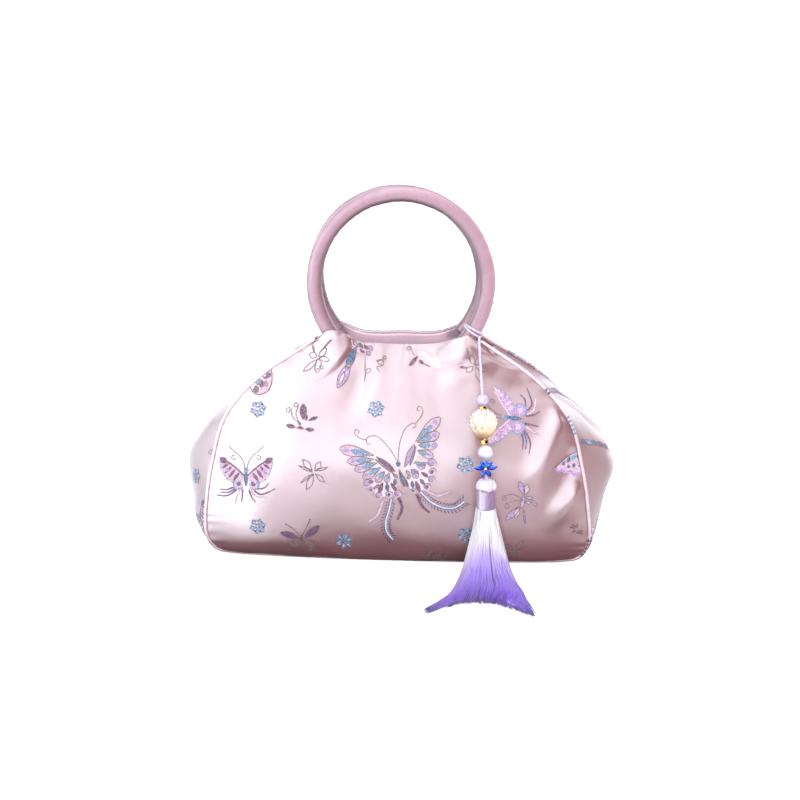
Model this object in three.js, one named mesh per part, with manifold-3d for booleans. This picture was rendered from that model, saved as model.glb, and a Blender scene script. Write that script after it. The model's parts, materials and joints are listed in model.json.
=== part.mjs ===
// A soft brocade handbag with two leather ring handles and a beaded tassel charm.
// Millimetres, +Z up, X to the right, the front looks along -Y, origin under the middle of the base.
import * as THREE from "three";
import { mergeVertices } from "three/addons/utils/BufferGeometryUtils.js";
import Module from "manifold-3d";

const wasm = await Module();
wasm.setup();

// Cloth walls
const WALL = 2.0; // brocade with its padding
const SEAM_EDGE = 1.0; // the same wall pressed thin where it is sewn
const SEAM_PRESS = 12; // distance from a seam at which the wall has its full thickness
const BELLY_POWER = 2.4; // how the belly falls off towards the seams
const PANEL_LENGTH = 160; // middle of a panel from the bottom seam to the mouth
const GAP = 0.3; // room between pieces that touch
const PIPING_RADIUS = 1.25;
const SEAM_CUT = PIPING_RADIUS + 0.95; // the cloth ends this far from the seam line
const CORNER_EXTRA_CUT = 1.4; // a panel's bottom corners end this much further
const TOP_EXTRA_CUT = 0.7; // and its top corners this much
const GUSSET_EXTRA_CUT = 1.3; // and the folded top of a gusset this much further
const BASE_WIDTH = 204.6;
const BASE_STEPS = 12;
const FRONT_GRID = { columns: 28, rows: 18 };
const BACK_GRID = { columns: 24, rows: 12 };

// Mouth
const GUSSET_TOP = 0.95; // share of the panel's height where the gusset ends
const FACING_WALL = 1.2;
const FACING_GAP = 1.45;
const FOOT_X = 43; // where the cloth swells over a handle's foot
const FOOT_SPREAD = 9.5;
const FOOT_LIFTS = { frontLeft: 8.5, frontRight: 5.2, back: 4.0 };
const FOOT_SWELLS = { front: 6.8, back: 6.0 };
const BACK_DROP = 4.5; // the back's shoulders lie this much lower than the front's

// Handles
const HANDLE_RING = 55.3;
const HANDLE_CENTRE_Z = 178;
const HANDLE_RADIUS = 5;
const HANDLE_FOOT_Y = 17;
const HANDLE_FOOT_Z = 150;
const HANDLE_END_Z = 141;
const HANDLE_LEAN = 0.12;
const HANDLE_SHIFTS = { front: 1.3, back: -1.4 };

// Charm
const CORD_RADIUS = 0.8;
const DRILL = 1.2;
const WRAP_Z = 148.6;
const LAVENDER_RADIUS = 4.0;
const PEARL_RADIUS = 4.75;
const LOTUS_RADIUS = 7.4;
const LOTUS_HALF = 9.2;
const TASSEL_X = 57.6;
const TASSEL_Y = -65.4;
const BAND_BOTTOM = 46.0;
const BAND_TOP = 58.2;
const BAND_RADIUS = 5.6;
const NECK_RADIUS = 4.0;
const LOCKS = 8;

const rowsOf = (names, rows) =>
  rows.map((row) => Object.fromEntries(names.map((name, i) => [name, row[i]])));

// Sections of the body from the bottom seam (share 0) to the mouth (share 1). The seam is the corner
// between a panel and a gusset, the belly is the middle of a panel, the side is the middle of a gusset.
const SECTIONS = rowsOf(
  ["share", "seamX", "seamY", "seamZ", "bellyY", "bellyZ", "sideX", "sideZ"],
  [
    [0.0, 103.0, 39.0, 1.4, 43.0, 0.8, 104.0, 1.0],
    [0.075, 117.5, 43.0, 5.5, 51.0, 5.0, 128.0, 4.0],
    [0.18, 123.5, 46.0, 18.0, 56.5, 20.0, 138.0, 17.0],
    [0.335, 122.0, 46.5, 42.0, 58.5, 45.0, 142.5, 42.0],
    [0.49, 118.0, 43.5, 66.0, 56.5, 70.0, 140.5, 65.0],
    [0.675, 109.5, 36.0, 95.0, 48.0, 98.0, 119.5, 93.0],
    [0.84, 88.0, 27.5, 119.0, 35.0, 121.0, 79.0, 117.5],
    [1.0, 53.0, 22.5, 142.5, 16.0, 139.0, 42.0, 141.5],
  ],
);

// Folds of a panel: each runs from one place to another, as distance from the middle and share of the
// height. Height is above the cloth, spread its width at the start and the end, open 1 at the mouth.
const FOLD_NAMES = ["fromX", "fromShare", "toX", "toShare", "height", "spread", "endSpread", "open"];
const FRONT_FOLDS = rowsOf(FOLD_NAMES, [
  [-19, 1.0, -46, 0.87, 2.2, 5, 7, 1],
  [-14, 1.0, -50, 0.56, -5.2, 6, 14, 1],
  [-6, 1.0, -8, 0.7, -2.4, 4, 8, 1],
  [2, 1.0, 2, 0.78, -1.3, 3, 5, 1],
  [10, 1.0, 9, 0.68, -2.2, 4, 8, 1],
  [22, 0.9, 26, 0.62, -2.2, 5, 9, 0],
  [16, 0.94, 36, 0.88, 1.8, 4, 5, 0],
  [23, 0.89, 40, 0.82, -3.4, 6, 7, 0],
  [42, 0.96, 80, 0.86, 2.0, 5, 7, 0],
  [52, 0.85, 96, 0.74, -4.0, 14, 16, 0],
  [101, 0.74, 75, 0.4, 3.0, 8, 10, 0],
  [116, 0.5, 84, 0.3, -2.6, 8, 10, 0],
  [117, 0.42, 88, 0.25, 2.2, 7, 9, 0],
  [-84, 0.8, -92, 0.4, -1.6, 14, 20, 0],
]);
const BACK_FOLDS = rowsOf(FOLD_NAMES, [
  [-26, 1.0, -42, 0.6, -2.8, 6, 12, 1],
  [-12, 1.0, -15, 0.66, -2.2, 5, 9, 1],
  [1, 1.0, 2, 0.72, -1.6, 4, 7, 1],
  [14, 1.0, 17, 0.64, -2.4, 5, 9, 1],
  [27, 1.0, 46, 0.58, -2.8, 6, 12, 1],
  [-96, 0.72, -74, 0.38, 2.4, 9, 11, 0],
  [98, 0.7, 76, 0.36, 2.4, 9, 11, 0],
]);

// Creases of the gussets: across is -1 at the front seam and 1 at the back seam.
const CREASE_NAMES = ["fromAcross", "fromShare", "toAcross", "toShare", "height", "spread"];
const GUSSET_CREASES = {
  left: rowsOf(CREASE_NAMES, [[0.1, 0.8, -0.2, 0.5, -2.2, 9]]),
  right: rowsOf(CREASE_NAMES, [
    [-0.15, 0.86, -0.1, 0.5, -4.2, 8],
    [0.5, 0.62, -0.7, 0.53, 2.2, 6],
    [0.3, 0.34, -0.6, 0.22, 1.6, 9],
    [0.0, 0.44, 0.0, 0.0, -9.0, 30],
  ]),
};

const smooth = (from, to, value) => THREE.MathUtils.smoothstep(value, from, to);
const mix = (a, b, share) => THREE.MathUtils.lerp(a, b, share);

// The section at any height, by a smooth curve through the rows of the table.
function sectionAt(share) {
  const last = SECTIONS.length - 1;
  let k = 0;
  while (k < last - 1 && share > SECTIONS[k + 1].share) k++;
  const span = SECTIONS[k + 1].share - SECTIONS[k].share;
  const t = (share - SECTIONS[k].share) / span;
  const section = {};
  for (const name of Object.keys(SECTIONS[0])) {
    const slope = (i) => {
      const before = SECTIONS[Math.max(i - 1, 0)];
      const after = SECTIONS[Math.min(i + 1, last)];
      return (after[name] - before[name]) / (after.share - before.share);
    };
    const a = SECTIONS[k][name];
    const b = SECTIONS[k + 1][name];
    const leave = slope(k) * span;
    const arrive = slope(k + 1) * span;
    const bend = t * t * (3 - 2 * t);
    section[name] =
      a + (b - a) * bend + leave * t * (1 - t) * (1 - t) - arrive * t * t * (1 - t);
  }
  return section;
}

// Shape of one fold at a place: a rounded ridge or valley along its line, dying away at its end.
function foldHeight(fold, x, share) {
  const lineX = fold.toX - fold.fromX;
  const lineY = (fold.toShare - fold.fromShare) * PANEL_LENGTH;
  const offX = x - fold.fromX;
  const offY = (share - fold.fromShare) * PANEL_LENGTH;
  const raw = (offX * lineX + offY * lineY) / (lineX * lineX + lineY * lineY);
  const along = THREE.MathUtils.clamp(raw, 0, 1);
  const away = Math.hypot(offX - along * lineX, offY - along * lineY);
  const rise = fold.open ? 1 : smooth(0, 0.35, along);
  const fall = 1 - smooth(0.4, 1, along);
  const width = mix(fold.spread, fold.endSpread, along);
  return fold.height * rise * fall * Math.exp(-((away / width) ** 2));
}

// The surface normal, from three points close together.
function normalOf(surface, a, b) {
  const step = 0.002;
  const a0 = Math.max(a - step, 0);
  const a1 = Math.min(a + step, 1);
  const b0 = Math.max(b - step, 0);
  const b1 = Math.min(b + step, 1);
  const across = surface(a1, b).sub(surface(a0, b));
  const up = surface(a, b1).sub(surface(a, b0));
  return across.cross(up).normalize();
}

// A closed wall on a surface given by two shares; the cloth's outside is the surface.
function wall(columns, rows, surface, thickness) {
  const geometry = new THREE.BoxGeometry(1, 1, 1, columns, rows, 1);
  const position = geometry.attributes.position;
  for (let i = 0; i < position.count; i++) {
    const across = position.getX(i) + 0.5;
    const up = position.getY(i) + 0.5;
    const inwards = 0.5 - position.getZ(i);
    const point = surface(across, up);
    point.addScaledVector(normalOf(surface, across, up), -inwards * thickness(across, up));
    position.setXYZ(i, point.x, point.y, point.z);
  }
  return geometry;
}

const backDrop = (share) => BACK_DROP * smooth(0.6, 1, share);

// A panel before its folds. Side is -1 for the front and 1 for the back, u runs from seam to seam.
function panelForm(u, share, side) {
  const row = sectionAt(share);
  const x = row.seamX * u;
  const rim = smooth(0.86, 1, share) * smooth(0, 8, row.seamX * (1 - Math.abs(u)));
  const shift = side > 0 ? HANDLE_SHIFTS.back : HANDLE_SHIFTS.front;
  const frontLift = x < 0 ? FOOT_LIFTS.frontLeft : FOOT_LIFTS.frontRight;
  const lift = side > 0 ? FOOT_LIFTS.back : frontLift;
  const swell = side > 0 ? FOOT_SWELLS.back : FOOT_SWELLS.front;
  const foot = rim * Math.exp(-(((Math.abs(x - shift) - FOOT_X) / FOOT_SPREAD) ** 2));
  const depth = mix(row.bellyY, row.seamY, Math.abs(u) ** BELLY_POWER) + swell * foot;
  const drop = side > 0 ? backDrop(share) : 0;
  const z = mix(row.bellyZ, row.seamZ - drop, u * u) + lift * foot;
  return new THREE.Vector3(x, side * depth, z);
}

// Half the width of a panel as a share, cut back square to its slanting seam.
function cutHalf(share) {
  const row = sectionAt(share);
  const next = sectionAt(share + 0.005);
  const before = sectionAt(share - 0.005);
  const run = next.seamX - before.seamX;
  const rise = Math.hypot(next.seamY - before.seamY, next.seamZ - before.seamZ);
  const cut = SEAM_CUT + CORNER_EXTRA_CUT * (1 - smooth(0, 0.06, share));
  const top = TOP_EXTRA_CUT * smooth(0.85, 1, share);
  return 1 - ((cut + top) * Math.hypot(run, rise)) / (rise * row.seamX);
}

// The panel with its folds, between its cut edges, for shares of its width and height.
function panelSurface(side, folds) {
  const low = (1.25 * SEAM_CUT) / PANEL_LENGTH;
  return (across, up) => {
    const share = mix(low, 1, up);
    const row = sectionAt(share);
    const half = cutHalf(share);
    const u = -side * mix(-half, half, across);
    const toSeam = smooth(0, 9, row.seamX * (1 - Math.abs(u)));
    const height = folds.reduce((sum, fold) => sum + foldHeight(fold, row.seamX * u, share), 0);
    const form = (a, b) => panelForm(-side * mix(-1, 1, a), b, side);
    const point = panelForm(u, share, side);
    const clearOfFoot = 1 - smooth(0.9, 1, share) * smooth(26, 38, Math.abs(point.x));
    const normal = normalOf(form, (1 - side * u) / 2, share);
    return point.addScaledVector(normal, height * toSeam * clearOfFoot);
  };
}

function panelThickness(across, up) {
  const row = sectionAt(up);
  const toSide = row.seamX * (1 - Math.abs(2 * across - 1));
  const toBottom = up * PANEL_LENGTH;
  return mix(SEAM_EDGE, WALL, smooth(0, SEAM_PRESS, Math.min(toSide, toBottom)));
}

// A gusset: side is 1 on the right and -1 on the left. It bulges below and folds inwards at the top.
function gussetSurface(side, creases) {
  return (across, up) => {
    const share = GUSSET_TOP * up;
    const row = sectionAt(share);
    const bulge = row.sideX - row.seamX;
    const power = bulge > 0 ? 2.2 : 1.7;
    const cut = SEAM_CUT + GUSSET_EXTRA_CUT * smooth(0.7, 0.95, share);
    const half = 1 - cut / Math.hypot(row.seamY, power * bulge);
    const w = side * mix(-half, half, across);
    const middle = 1 - Math.abs(w) ** power;
    let x = row.seamX + bulge * middle;
    for (const crease of creases) {
      const scale = row.seamY;
      const lineW = (crease.toAcross - crease.fromAcross) * scale;
      const lineZ = (crease.toShare - crease.fromShare) * PANEL_LENGTH;
      const offW = (w - crease.fromAcross) * scale;
      const offZ = (share - crease.fromShare) * PANEL_LENGTH;
      const raw = (offW * lineW + offZ * lineZ) / (lineW * lineW + lineZ * lineZ);
      const along = THREE.MathUtils.clamp(raw, 0, 1);
      const away = Math.hypot(offW - along * lineW, offZ - along * lineZ);
      const ends = smooth(0, 0.4, along) * (1 - smooth(0.6, 1, along));
      const toSeam = smooth(0, 0.25, 1 - Math.abs(w));
      x += crease.height * ends * toSeam * Math.exp(-((away / crease.spread) ** 2));
    }
    const z = mix(row.seamZ, row.sideZ, middle) - backDrop(share) * smooth(-1, 1, w);
    return new THREE.Vector3(side * x, row.seamY * w, z);
  };
}

function gussetThickness(across, up) {
  const row = sectionAt(GUSSET_TOP * up);
  const toSeam = row.seamY * (1 - Math.abs(2 * across - 1));
  return mix(SEAM_EDGE, WALL, smooth(0, SEAM_PRESS, Math.min(toSeam, up * PANEL_LENGTH)));
}

const polygon = (sides, radius) => {
  const corner = (i) => {
    const turn = (2 * Math.PI * i) / sides;
    return new THREE.Vector2(radius * Math.cos(turn), radius * Math.sin(turn));
  };
  return new THREE.Shape(Array.from({ length: sides }, (_, i) => corner(i)));
};

const tube = (curve, radius, sides, steps) =>
  new THREE.ExtrudeGeometry(polygon(sides, radius), {
    extrudePath: curve,
    steps,
    bevelEnabled: false,
  });

// The seam line of a panel: down from the right foot, along the bottom, up to the left foot.
class SeamLine extends THREE.Curve {
  constructor(side) {
    super();
    this.side = side;
  }

  getPoint(share, target = new THREE.Vector3()) {
    const third = share * 3;
    const row = sectionAt(Math.max(1 - third, third - 2, 0));
    const right = third < 1 ? 1 : third > 2 ? -1 : 3 - 2 * third;
    const depth = mix(row.bellyY, row.seamY, Math.abs(right) ** BELLY_POWER);
    const drop = this.side > 0 ? backDrop(Math.max(1 - third, third - 2, 0)) : 0;
    return target.set(right * row.seamX, this.side * depth, row.seamZ - drop);
  }
}

class HandleArc extends THREE.Curve {
  constructor(side, shift) {
    super();
    this.side = side;
    this.shift = shift;
    this.start = Math.asin((HANDLE_END_Z - HANDLE_CENTRE_Z) / HANDLE_RING);
  }

  at(turn) {
    const z = HANDLE_CENTRE_Z + HANDLE_RING * Math.sin(turn);
    const y = this.side * (HANDLE_FOOT_Y - HANDLE_LEAN * Math.max(z - HANDLE_FOOT_Z, 0));
    return new THREE.Vector3(this.shift + HANDLE_RING * Math.cos(turn), y, z);
  }

  getPoint(share, target = new THREE.Vector3()) {
    return target.copy(this.at(mix(this.start, Math.PI - this.start, share)));
  }
}

// Solids that are fused or cut
function solidOf(geometry) {
  const bare = geometry.clone();
  bare.deleteAttribute("normal");
  bare.deleteAttribute("uv");
  const merged = mergeVertices(bare, 1e-4);
  const index = merged.index
    ? merged.index.array
    : Array.from({ length: merged.attributes.position.count }, (_, i) => i);
  return new wasm.Manifold(
    new wasm.Mesh({
      numProp: 3,
      vertProperties: new Float32Array(merged.attributes.position.array),
      triVerts: new Uint32Array(index),
    }),
  );
}

function geometryOf(solid) {
  const mesh = solid.getMesh();
  const geometry = new THREE.BufferGeometry();
  geometry.setAttribute("position", new THREE.BufferAttribute(mesh.vertProperties, 3));
  geometry.setIndex(new THREE.BufferAttribute(mesh.triVerts, 1));
  return geometry;
}

const fused = (geometries) => geometries.map(solidOf).reduce((sum, solid) => sum.add(solid));

const turned = (profile, sides) =>
  new THREE.LatheGeometry(
    profile.map(([radius, height]) => new THREE.Vector2(radius, height)),
    sides,
  );

// A round bead drilled for the cord, turned round its own Y axis.
function drilledBead(radius, sides) {
  const rise = Math.sqrt(radius * radius - DRILL * DRILL);
  const end = Math.asin(rise / radius);
  const steps = 7;
  const profile = [];
  for (let i = 0; i <= steps; i++) {
    const turn = mix(-end, end, i / steps);
    profile.push([radius * Math.cos(turn), radius * Math.sin(turn)]);
  }
  profile.push(profile[0]);
  return turned(profile, sides);
}

const ringBead = (inner, outer, half, sides) =>
  turned([[inner, -half], [outer, -half * 0.6], [outer, half * 0.6], [inner, half], [inner, -half]], sides);

// The carved bead: rings of pointed petals on a turned core.
function lotusBead() {
  const core = turned(
    [
      [0, -LOTUS_HALF],
      [3.4, -LOTUS_HALF + 0.3],
      [6.2, -6.2],
      [LOTUS_RADIUS, -1.5],
      [6.6, 3.4],
      [4.2, 7.2],
      [0, LOTUS_HALF - 0.2],
    ],
    12,
  );
  const rings = rowsOf(
    ["count", "turn", "radius", "height", "lean", "length", "width"],
    [
      [7, 0.0, 6.7, -1.6, -0.12, 5.6, 3.5],
      [7, 0.45, 5.7, 2.4, 0.3, 5.0, 3.0],
      [5, 0.0, 3.6, 5.4, 0.7, 3.9, 2.5],
    ],
  );
  const pieces = [core];
  for (const ring of rings) {
    for (let i = 0; i < ring.count; i++) {
      const petal = new THREE.SphereGeometry(1, 6, 4);
      petal.scale(ring.width, ring.length, 1.9);
      petal.rotateX(-ring.lean);
      petal.translate(0, ring.height, ring.radius);
      petal.rotateY(ring.turn + (2 * Math.PI * i) / ring.count);
      pieces.push(petal);
    }
  }
  const drill = new THREE.CylinderGeometry(DRILL, DRILL, 30, 8);
  return geometryOf(fused(pieces).subtract(solidOf(drill)));
}

// The enamelled flower: leaf shaped petals in one plate, its back just in front of the cord.
function flowerCharm() {
  const petals = rowsOf(
    ["angle", "length", "width"],
    [
      [90, 4.9, 3.0],
      [52, 5.7, 3.3],
      [128, 5.7, 3.3],
      [8, 6.7, 3.5],
      [172, 6.7, 3.5],
      [238, 5.4, 3.4],
      [302, 5.4, 3.4],
    ],
  );
  const plate = petals.map((petal) => {
    const leaf = new THREE.Shape();
    leaf.moveTo(0, 0);
    leaf.quadraticCurveTo(petal.length * 0.55, petal.width, petal.length, 0);
    leaf.quadraticCurveTo(petal.length * 0.55, -petal.width, 0, 0);
    const solid = new THREE.ExtrudeGeometry(leaf, { depth: 1.6, bevelEnabled: false, curveSegments: 5 });
    return solid.rotateZ(THREE.MathUtils.degToRad(petal.angle));
  });
  const boss = new THREE.CylinderGeometry(1.7, 1.9, 2.0, 12);
  boss.rotateX(Math.PI / 2);
  boss.translate(0, 0, 1.0);
  const flower = geometryOf(fused([...plate, boss]));
  flower.translate(0, 0, CORD_RADIUS + GAP);
  return flower;
}

// Sections of the tassel skirt from the band to the floor and forwards along it. Tilt is 0 where the
// threads hang and 90 where they lie.
const SKIRT_SECTIONS = rowsOf(
  ["y", "z", "tilt", "halfWidth", "halfDepth"],
  [
    [TASSEL_Y, 45.7, 0, 5.5, 5.5],
    [TASSEL_Y - 0.6, 34.0, 2, 7.2, 6.6],
    [TASSEL_Y - 1.8, 21.0, 10, 10.0, 7.8],
    [TASSEL_Y - 6.5, 10.6, 42, 12.8, 8.0],
    [TASSEL_Y - 18, 5.4, 78, 16.0, 4.9],
    [TASSEL_Y - 30, 3.4, 86, 19.5, 3.3],
    [TASSEL_Y - 38, 2.2, 90, 23.0, 2.1],
  ],
);

// A place on the skirt: the section, and the turn from its right side over its outer side.
function skirtPoint(row, turn, grow) {
  const tilt = THREE.MathUtils.degToRad(row.tilt);
  const across = (row.halfWidth + grow) * Math.cos(turn);
  const out = (row.halfDepth + grow) * Math.sin(turn);
  return new THREE.Vector3(TASSEL_X + across, row.y - out * Math.cos(tilt), row.z + out * Math.sin(tilt));
}

function tasselSkirt() {
  const levels = SKIRT_SECTIONS.length - 1;
  const core = new THREE.CylinderGeometry(1, 1, 1, 14, levels);
  const position = core.attributes.position;
  for (let i = 0; i < position.count; i++) {
    const level = Math.round((0.5 - position.getY(i)) * levels);
    const radius = Math.hypot(position.getX(i), position.getZ(i));
    const turn = Math.atan2(position.getZ(i), position.getX(i));
    const row = SKIRT_SECTIONS[level];
    const rim = skirtPoint(row, turn, 0);
    const middle = new THREE.Vector3(TASSEL_X, row.y, row.z);
    middle.lerp(rim, radius);
    position.setXYZ(i, middle.x, middle.y, middle.z);
  }
  const pieces = [core];
  for (let i = 0; i < LOCKS; i++) {
    const share = i / (LOCKS - 1);
    const turn = Math.PI * (1 - share);
    const spread = 2 * share - 1;
    const end = new THREE.Vector3(TASSEL_X + mix(-33, 27, share), -104 - 15 * spread * spread, 1.0);
    const tip = mix(1.15, 0.5, spread * spread);
    const hang = SKIRT_SECTIONS.slice(0, 6).map((row, k) => skirtPoint(row, turn, k === 0 ? -1.6 : -0.7));
    const lying = hang.at(-1).clone().lerp(end, 0.5);
    lying.z = Math.max(2.4, lying.z * 0.75);
    const path = new THREE.CatmullRomCurve3([...hang, lying, end]);
    const lock = new THREE.CylinderGeometry(1, 1, 1, 6, 7);
    const points = lock.attributes.position;
    for (let k = 0; k < points.count; k++) {
      const along = 0.5 - points.getY(k);
      const centre = path.getPointAt(along);
      const wide = mix(1.5, 3.4, smooth(0, 0.7, along)) * mix(1, tip, smooth(0.75, 1, along));
      const thick = mix(1.5, 2.2, smooth(0, 0.45, along)) * mix(1, 0.42, smooth(0.6, 1, along));
      const tangent = path.getTangentAt(along);
      const right = new THREE.Vector3(1, 0, 0).addScaledVector(tangent, -tangent.x).normalize();
      const out = right.clone().cross(tangent).normalize();
      centre.addScaledVector(right, points.getX(k) * wide);
      centre.addScaledVector(out, -points.getZ(k) * thick);
      points.setXYZ(k, centre.x, Math.max(centre.y, -122), Math.max(centre.z, 0));
    }
    pieces.push(lock);
  }
  const floorBlock = new THREE.BoxGeometry(200, 200, 40);
  floorBlock.translate(TASSEL_X, TASSEL_Y, -20 + 0.05);
  const neckBlock = new THREE.BoxGeometry(60, 60, 20);
  neckBlock.translate(TASSEL_X, TASSEL_Y, 10 + BAND_BOTTOM - GAP);
  const skirt = fused(pieces).subtract(solidOf(floorBlock)).subtract(solidOf(neckBlock));
  const [body] = skirt.simplify(0.15).decompose().sort((a, b) => b.volume() - a.volume());
  return geometryOf(body);
}

// The string of the charm, from the wrap on the handle down to the tassel
const STRING = new THREE.CatmullRomCurve3([
  new THREE.Vector3(51.8, -25.6, 145.8),
  new THREE.Vector3(52.1, -30.0, 140.6),
  new THREE.Vector3(53.2, -40.5, 126.5),
  new THREE.Vector3(54.5, -50.0, 111.0),
  new THREE.Vector3(55.4, -55.5, 96.5),
  new THREE.Vector3(56.8, -61.8, 80.0),
  new THREE.Vector3(57.4, -64.7, 70.0),
  new THREE.Vector3(TASSEL_X, TASSEL_Y, 61.6),
]);
const STRING_TO_LAVENDER = 42.8; // length of free cord above the middle of the first bead
const BEADS = rowsOf(
  ["name", "half"],
  [
    ["lavender_bead", LAVENDER_RADIUS * 0.955],
    ["spacer_upper", 0.8],
    ["lotus_bead", LOTUS_HALF],
    ["spacer_lower", 1.4],
    ["pearl_bead", PEARL_RADIUS * 0.97],
    ["flower_charm", 4.9],
  ],
);

const group = new THREE.Group();

function add(name, geometry, colour, roughness, metalness = 0) {
  const material = new THREE.MeshStandardMaterial({ color: colour, roughness, metalness });
  const mesh = new THREE.Mesh(geometry, material);
  mesh.name = name;
  group.add(mesh);
  return mesh;
}

const SATIN = 0xe6d6de;
const LEATHER = 0xd8b5c8;
const LILAC_CORD = 0xe1d7eb;
const GOLD = 0xd7a53c;

// Body
const frontCloth = panelSurface(-1, FRONT_FOLDS);
const backCloth = panelSurface(1, BACK_FOLDS);
add("front_panel", wall(FRONT_GRID.columns, FRONT_GRID.rows, frontCloth, panelThickness), SATIN, 0.4);
add("back_panel", wall(BACK_GRID.columns, BACK_GRID.rows, backCloth, panelThickness), SATIN, 0.4);
add("gusset_left", wall(8, 11, gussetSurface(-1, GUSSET_CREASES.left), gussetThickness), SATIN, 0.4);
add("gusset_right", wall(8, 11, gussetSurface(1, GUSSET_CREASES.right), gussetThickness), SATIN, 0.4);
const baseHalf = (x) => {
  const share = (2 * Math.abs(x)) / BASE_WIDTH;
  return mix(SECTIONS[0].bellyY, SECTIONS[0].seamY, share ** BELLY_POWER) - SEAM_CUT;
};
const baseEdge = Array.from({ length: BASE_STEPS + 1 }, (_, i) => {
  const x = BASE_WIDTH * (i / BASE_STEPS - 0.5);
  return new THREE.Vector2(x, -baseHalf(x));
});
const baseShape = new THREE.Shape([
  ...baseEdge,
  ...baseEdge.map((point) => new THREE.Vector2(-point.x, -point.y)),
]);
add("base_panel", new THREE.ExtrudeGeometry(baseShape, { depth: WALL, bevelEnabled: false }), SATIN, 0.4);
add("piping_front", tube(new SeamLine(-1), PIPING_RADIUS, 6, 48), SATIN, 0.4);
add("piping_back", tube(new SeamLine(1), PIPING_RADIUS, 6, 48), SATIN, 0.4);

// Mouth facings, on the inside of each panel and on the same cells of its grid
const FACINGS = rowsOf(
  ["name", "cloth", "grid", "columns", "rows"],
  [
    ["facing_front", frontCloth, FRONT_GRID, 16, 3],
    ["facing_back", backCloth, BACK_GRID, 12, 2],
  ],
);
for (const facing of FACINGS) {
  const { cloth } = facing;
  const width = facing.columns / facing.grid.columns;
  const height = facing.rows / facing.grid.rows;
  const inner = (across, up) => {
    const place = 0.5 + width * (across - 0.5);
    const level = 1 - height * (1 - up);
    return cloth(place, level).addScaledVector(normalOf(cloth, place, level), -WALL - FACING_GAP);
  };
  add(facing.name, wall(facing.columns, facing.rows, inner, () => FACING_WALL), LEATHER, 0.55);
}

// Handles
const frontArc = new HandleArc(-1, HANDLE_SHIFTS.front);
const backArc = new HandleArc(1, HANDLE_SHIFTS.back);
add("handle_front", tube(frontArc, HANDLE_RADIUS, 10, 26), LEATHER, 0.55);
add("handle_back", tube(backArc, HANDLE_RADIUS, 10, 26), LEATHER, 0.55);

// Charm: two turns of cord round the handle's foot, then the string with its beads
const wrapTurn = Math.asin((WRAP_Z - HANDLE_CENTRE_Z) / HANDLE_RING);
const wrapCentre = frontArc.at(wrapTurn);
const wrapAxis = frontArc.at(wrapTurn + 0.01).sub(frontArc.at(wrapTurn - 0.01)).normalize();
const wrapTurns = [-0.65, 0.65].map((offset) => {
  const ring = new THREE.TorusGeometry(HANDLE_RADIUS + 1.5 * GAP + CORD_RADIUS, CORD_RADIUS, 6, 14);
  ring.translate(0, 0, offset);
  ring.applyQuaternion(new THREE.Quaternion().setFromUnitVectors(new THREE.Vector3(0, 0, 1), wrapAxis));
  return ring.translate(wrapCentre.x, wrapCentre.y, wrapCentre.z);
});
add("cord_wrap", geometryOf(fused(wrapTurns)), LILAC_CORD, 0.7);
add("charm_cord", tube(STRING, CORD_RADIUS, 8, 24), LILAC_CORD, 0.7);

const BEAD_LOOKS = {
  lavender_bead: [drilledBead(LAVENDER_RADIUS, 14), 0xc8b9e1, 0.15],
  spacer_upper: [ringBead(DRILL, 2.3, 0.8, 12), GOLD, 0.25, 1],
  lotus_bead: [lotusBead(), 0xf6efdf, 0.5],
  spacer_lower: [ringBead(DRILL, 2.4, 1.4, 12), GOLD, 0.25, 1],
  pearl_bead: [drilledBead(PEARL_RADIUS, 14), 0xf2f2f7, 0.15],
  flower_charm: [flowerCharm(), 0x1450d2, 0.2],
};
const stringLength = STRING.getLength();
let place = STRING_TO_LAVENDER - BEADS[0].half;
for (const bead of BEADS) {
  place += bead.half;
  const at = STRING.getPointAt(place / stringLength);
  const up = STRING.getTangentAt(place / stringLength).negate();
  const right = new THREE.Vector3(1, 0, 0).addScaledVector(up, -up.x).normalize();
  const out = right.clone().cross(up);
  const frame = new THREE.Matrix4().makeBasis(right, up, out).setPosition(at);
  const [geometry, ...look] = BEAD_LOOKS[bead.name];
  add(bead.name, geometry.applyMatrix4(frame), ...look);
  place += bead.half + GAP;
}

// Tassel
const headProfile = [
  [0, BAND_BOTTOM],
  [NECK_RADIUS, BAND_BOTTOM],
  [NECK_RADIUS, BAND_TOP + GAP],
  [5.8, BAND_TOP + 0.6],
  [6.2, 60.2],
  [5.5, 62.4],
  [3.6, 64.2],
  [DRILL, 64.8],
  [DRILL, 61.0],
  [0, 61.0],
];
const bandProfile = [
  [NECK_RADIUS + GAP, BAND_BOTTOM],
  [BAND_RADIUS, BAND_BOTTOM + 0.4],
  [BAND_RADIUS, BAND_TOP - 0.4],
  [NECK_RADIUS + GAP, BAND_TOP],
  [NECK_RADIUS + GAP, BAND_BOTTOM],
];
const standing = (geometry) => geometry.rotateX(Math.PI / 2).translate(TASSEL_X, TASSEL_Y, 0);
add("tassel_head", standing(turned(headProfile, 16)), 0xf3f3fb, 0.6);
add("tassel_band", standing(turned(bandProfile, 16)), 0xbb9cbe, 0.5);
add("tassel_skirt", tasselSkirt(), 0xcbb4ea, 0.6);

export default group;
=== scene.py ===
import cmath
import json
import math
import random
import bmesh
import bpy
import numpy as np
from mathutils import Matrix, Vector

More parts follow.
